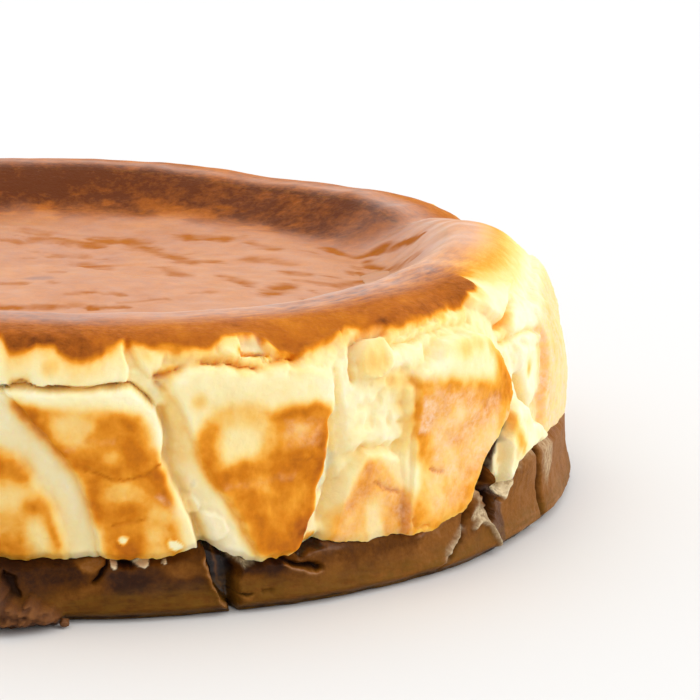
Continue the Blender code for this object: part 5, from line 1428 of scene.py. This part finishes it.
# Colours by how far the cheesecake is baked, as linear red, green and blue
BAKE_COLOURS = [
    (0.0, (0.97, 0.86, 0.60)),
    (0.08, (0.965, 0.83, 0.49)),
    (0.14, (0.96, 0.79, 0.42)),
    (0.28, (0.95, 0.69, 0.27)),
    (0.44, (0.93, 0.52, 0.11)),
    (0.60, (0.82, 0.33, 0.025)),
    (0.74, (0.64, 0.205, 0.008)),
    (0.88, (0.42, 0.112, 0.008)),
    (1.0, (0.13, 0.030, 0.004)),
]
# Greyish curd of the folds, moister and partly painted shade
MOIST_AND_SHADE_COLOUR = (0.74, 0.68, 0.46)
FLAKE_COLOUR = (0.90, 0.62, 0.41)
# Near black, for painted shade in the deepest crevice
CREVICE_SHADE_COLOUR = (0.035, 0.012, 0.005)
BLISTER_COLOUR = (0.40, 0.110, 0.006)
# Pinkish tint of painted sheen on the glossy crust
PAINTED_SHEEN_COLOUR = (0.72, 0.60, 0.54)
# Colours by the chocolate's tone
CHOCOLATE_COLOURS = [
    (0.0, (0.012, 0.005, 0.004)),
    (0.2, (0.036, 0.011, 0.003)),
    (0.4, (0.110, 0.034, 0.002)),
    (0.6, (0.235, 0.085, 0.012)),
    (0.8, (0.36, 0.175, 0.075)),
    (1.0, (0.50, 0.32, 0.20)),
]
TAN_COLOUR = (0.155, 0.068, 0.006)
SMEAR_COLOUR = (0.80, 0.66, 0.42)
CRUMBLED_COLOUR = (0.155, 0.068, 0.036)


def cheese_material():
    """Baked cheesecake: pale curd, golden to brown where the paper touched it, and a satin brown crust
    with matt blisters and fine wrinkles, painted shade in the wrinkles' valleys and painted highlights
    on their crests, and a faint pinkish tint of painted sheen where it is glossy. Greyish curd in the
    folds is partly painted shade. Light spreads a little way through it."""
    material, tree, shader = new_material("baked_cheesecake")
    mottle = noise(tree, 650.0, 4.0, 0.65)
    broad = noise(tree, 170.0, 3.0)
    grainy = noise(tree, 1500.0, 4.0, 0.6)
    wrinkles = noise(tree, 1.3, 3.0, 0.5, place=attribute(tree, "rim_place", "Vector"))
    baked = attribute(tree, "baked")
    crust = attribute(tree, "crust")
    blister = attribute(tree, "blister")
    wrinkled = attribute(tree, "wrinkled")
    toasted = rescale(tree, baked, 0.30, 0.55, 0.0, 1.0)
    swing = maths(tree, "MULTIPLY_ADD", toasted, 0.09, 0.07)
    change = maths(tree, "MULTIPLY_ADD", maths(tree, "SUBTRACT", mottle, 0.5), swing, baked)
    change = maths(tree, "MULTIPLY_ADD", maths(tree, "SUBTRACT", grainy, 0.5), 0.06, change)
    # Painted shade in the rim's wrinkle valleys and painted highlights on their crests; the same lines shape
    # the bump
    lines = maths(tree, "MULTIPLY", maths(tree, "SUBTRACT", 0.5, wrinkles), wrinkled)
    change = maths(tree, "MULTIPLY_ADD", lines, 0.42, change)
    bare = maths(tree, "MULTIPLY", toasted, maths(tree, "SUBTRACT", 1.0, crust))
    spread = maths(tree, "MULTIPLY_ADD", bare, 0.20, 0.09)
    change = maths(tree, "MULTIPLY_ADD", maths(tree, "SUBTRACT", broad, 0.5), spread, change, clamp=True)
    colour = ramp(tree, change, BAKE_COLOURS)
    # Greyish tint in the folds: moister curd and painted shade
    colour = blend(tree, maths(tree, "MULTIPLY", attribute(tree, "moist_and_shade"), 0.75), colour, MOIST_AND_SHADE_COLOUR)
    speck = rescale(tree, noise(tree, 1400.0, 2.0), 0.35, 0.6, 0.4, 1.0)
    flaky = maths(tree, "MULTIPLY", attribute(tree, "flakes"), speck, clamp=True)
    colour = blend(tree, flaky, colour, FLAKE_COLOUR)
    sheen = attribute(tree, "sheen")
    # Painted sheen: a faint pinkish tint where the crust is glossy
    colour = blend(tree, maths(tree, "MULTIPLY", sheen, 0.06), colour, PAINTED_SHEEN_COLOUR)
    colour = blend(tree, maths(tree, "MULTIPLY", blister, 0.95, clamp=True), colour, BLISTER_COLOUR)
    # Painted shade, near black, in the deepest crevice
    colour = blend(tree, attribute(tree, "dark"), colour, CREVICE_SHADE_COLOUR)
    tree.links.new(colour, shader.inputs["Base Color"])
    tree.links.new(rescale(tree, mottle, 0.3, 0.7, 0.62, 0.82), shader.inputs["Roughness"])
    shader.inputs["Specular IOR Level"].default_value = 0.07
    matt = maths(tree, "MULTIPLY_ADD", blister, -0.85, 1.0)
    film = maths(tree, "MULTIPLY", sheen, rescale(tree, mottle, 0.3, 0.7, 0.85, 1.15))
    tree.links.new(maths(tree, "MULTIPLY", film, matt, clamp=True), shader.inputs["Coat Weight"])
    shader.inputs["Coat Roughness"].default_value = 0.36
    shader.inputs["Coat IOR"].default_value = 1.5
    shader.inputs["Subsurface Weight"].default_value = 0.5
    shader.inputs["Subsurface Radius"].default_value = (1.0, 0.55, 0.2)
    shader.inputs["Subsurface Scale"].default_value = 0.003
    relief = maths(tree, "MULTIPLY", maths(tree, "ADD", grainy, mottle), maths(tree, "ADD", crust, 1.0))
    relief = maths(tree, "MULTIPLY_ADD", lines, -9.0, relief)
    bump(tree, shader, relief, 0.5, 0.00025)
    return material


def chocolate_material():
    """Moist baked chocolate: brown, made near black in its folds by painted shade, with painted highlights on
    its ridges, and olive tan and wrinkled at its foot.
    """
    material, tree, shader = new_material("baked_chocolate")
    mottle = noise(tree, 260.0, 5.0, 0.6)
    streaks = noise(tree, 300.0, 4.0, 0.6, stretch=(1.0, 1.0, 3.5))
    fine = noise(tree, 1100.0, 5.0, 0.65)
    tone = maths(tree, "MULTIPLY_ADD", maths(tree, "SUBTRACT", mottle, 0.5), 0.34, attribute(tree, "tone"))
    tone = maths(tree, "MULTIPLY_ADD", maths(tree, "SUBTRACT", fine, 0.5), 0.26, tone, clamp=True)
    colour = ramp(tree, tone, CHOCOLATE_COLOURS)
    tan = maths(tree, "MULTIPLY", attribute(tree, "tan"), rescale(tree, streaks, 0.35, 0.65, 0.1, 0.8))
    colour = blend(tree, tan, colour, TAN_COLOUR)
    colour = blend(tree, maths(tree, "MULTIPLY", attribute(tree, "crag"), 0.45), colour, CRUMBLED_COLOUR)
    speck = rescale(tree, fine, 0.40, 0.62, 0.45, 1.15)
    smeared = maths(tree, "MULTIPLY", attribute(tree, "smear"), speck, clamp=True)
    colour = blend(tree, smeared, colour, SMEAR_COLOUR)
    tree.links.new(colour, shader.inputs["Base Color"])
    wet = attribute(tree, "wet")
    gloss = maths(tree, "MULTIPLY_ADD", wet, -0.38, rescale(tree, mottle, 0.3, 0.7, 0.52, 0.70))
    tree.links.new(gloss, shader.inputs["Roughness"])
    shader.inputs["Specular IOR Level"].default_value = 0.08
    film = maths(tree, "MULTIPLY", wet, rescale(tree, mottle, 0.35, 0.65, 0.0, 0.8), clamp=True)
    tree.links.new(film, shader.inputs["Coat Weight"])
    shader.inputs["Coat Roughness"].default_value = 0.18
    bump(tree, shader, maths(tree, "ADD", fine, streaks), 0.5, 0.0003)
    return material


def floor_material():
    material, _, shader = new_material("pale_floor")
    shader.inputs["Base Color"].default_value = (0.76, 0.76, 0.76, 1.0)
    shader.inputs["Roughness"].default_value = 0.8
    return material


# ---------------------------------------------------------------- stage

def add_floor():
    mesh = bpy.data.meshes.new("floor")
    reach = FLOOR_REACH
    corners = [(-reach, -reach, 0), (reach, -reach, 0), (reach, reach, 0), (-reach, reach, 0)]
    mesh.from_pydata(corners, [], [(0, 1, 2, 3)])
    floor = bpy.data.objects.new("floor", mesh)
    floor.location = (0.0, 0.0, -FLOOR_DROP)
    bpy.context.scene.collection.objects.link(floor)
    mesh.materials.append(floor_material())


def add_key():
    """A broad, soft lamp from the right, like a window."""
    light = bpy.data.lights.new("key", "SUN")
    light.energy = KEY_STRENGTH
    light.angle = math.radians(50.0)
    light.color = (1.0, 0.985, 0.96)
    lamp = bpy.data.objects.new("key", light)
    lamp.rotation_euler = (-Vector(KEY_FROM)).to_track_quat("-Z", "Y").to_euler()
    bpy.context.scene.collection.objects.link(lamp)


def add_world():
    """White surroundings that are brightest behind the cake."""
    world = bpy.data.worlds.new("studio")
    bpy.context.scene.world = world
    world.use_nodes = True
    tree = world.node_tree
    parts = tree.nodes.new("ShaderNodeSeparateXYZ")
    tree.links.new(tree.nodes.new("ShaderNodeTexCoord").outputs["Generated"], parts.inputs[0])
    strength = rescale(tree, parts.outputs["Y"], -1.0, 1.0, SKY_FRONT, SKY_BACK)
    background = tree.nodes["Background"]
    background.inputs["Color"].default_value = (1.0, 1.0, 1.0, 1.0)
    tree.links.new(strength, background.inputs["Strength"])


def add_camera():
    yaw = math.radians(CAMERA_YAW)
    pitch = math.radians(CAMERA_PITCH)
    roll = math.radians(CAMERA_ROLL)
    ahead = Vector((math.sin(yaw) * math.cos(pitch), math.cos(yaw) * math.cos(pitch), math.sin(pitch)))
    right = ahead.cross(Vector((0, 0, 1))).normalized()
    up = right.cross(ahead)
    rolled_right = right * math.cos(roll) + up * math.sin(roll)
    rolled_up = up * math.cos(roll) - right * math.sin(roll)
    data = bpy.data.cameras.new("camera")
    data.lens = CAMERA_LENS
    data.sensor_width = 36.0
    camera = bpy.data.objects.new("camera", data)
    turn = Matrix((rolled_right, rolled_up, -ahead)).transposed()
    camera.matrix_world = Matrix.Translation(Vector(CAMERA_PLACE) * MM) @ turn.to_4x4()
    bpy.context.scene.collection.objects.link(camera)
    bpy.context.scene.camera = camera


def build():
    cheese = cheese_material()
    chocolate = chocolate_material()
    front_angles = np.linspace(FINE_FROM, FINE_TO, SIDE_COLUMNS[0])
    back_angles = np.linspace(FINE_TO, FINE_FROM + 360.0, SIDE_COLUMNS[1])
    pieces = [
        (cake_side("front_side", front_angles, cheese), "cheesecake_layer", "cheesecake"),
        (cake_side("back_side", back_angles, cheese), "cheesecake_layer", "cheesecake"),
        (sunken_top(cheese), "cheesecake_layer", "cheesecake"),
        (chocolate_layer_piece(chocolate), "chocolate_layer", "chocolate"),
        (crumb("fallen_crumb", *CRUMB_PLACE, CRUMB_VALUES, chocolate), "chocolate_layer", "chocolate"),
    ]
    for piece, node, slot in pieces:
        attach(piece, "root")
        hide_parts(node)
    bpy.context.scene.view_settings.view_transform = "Standard"
    add_floor()
    add_world()
    add_key()
    add_camera()


build()
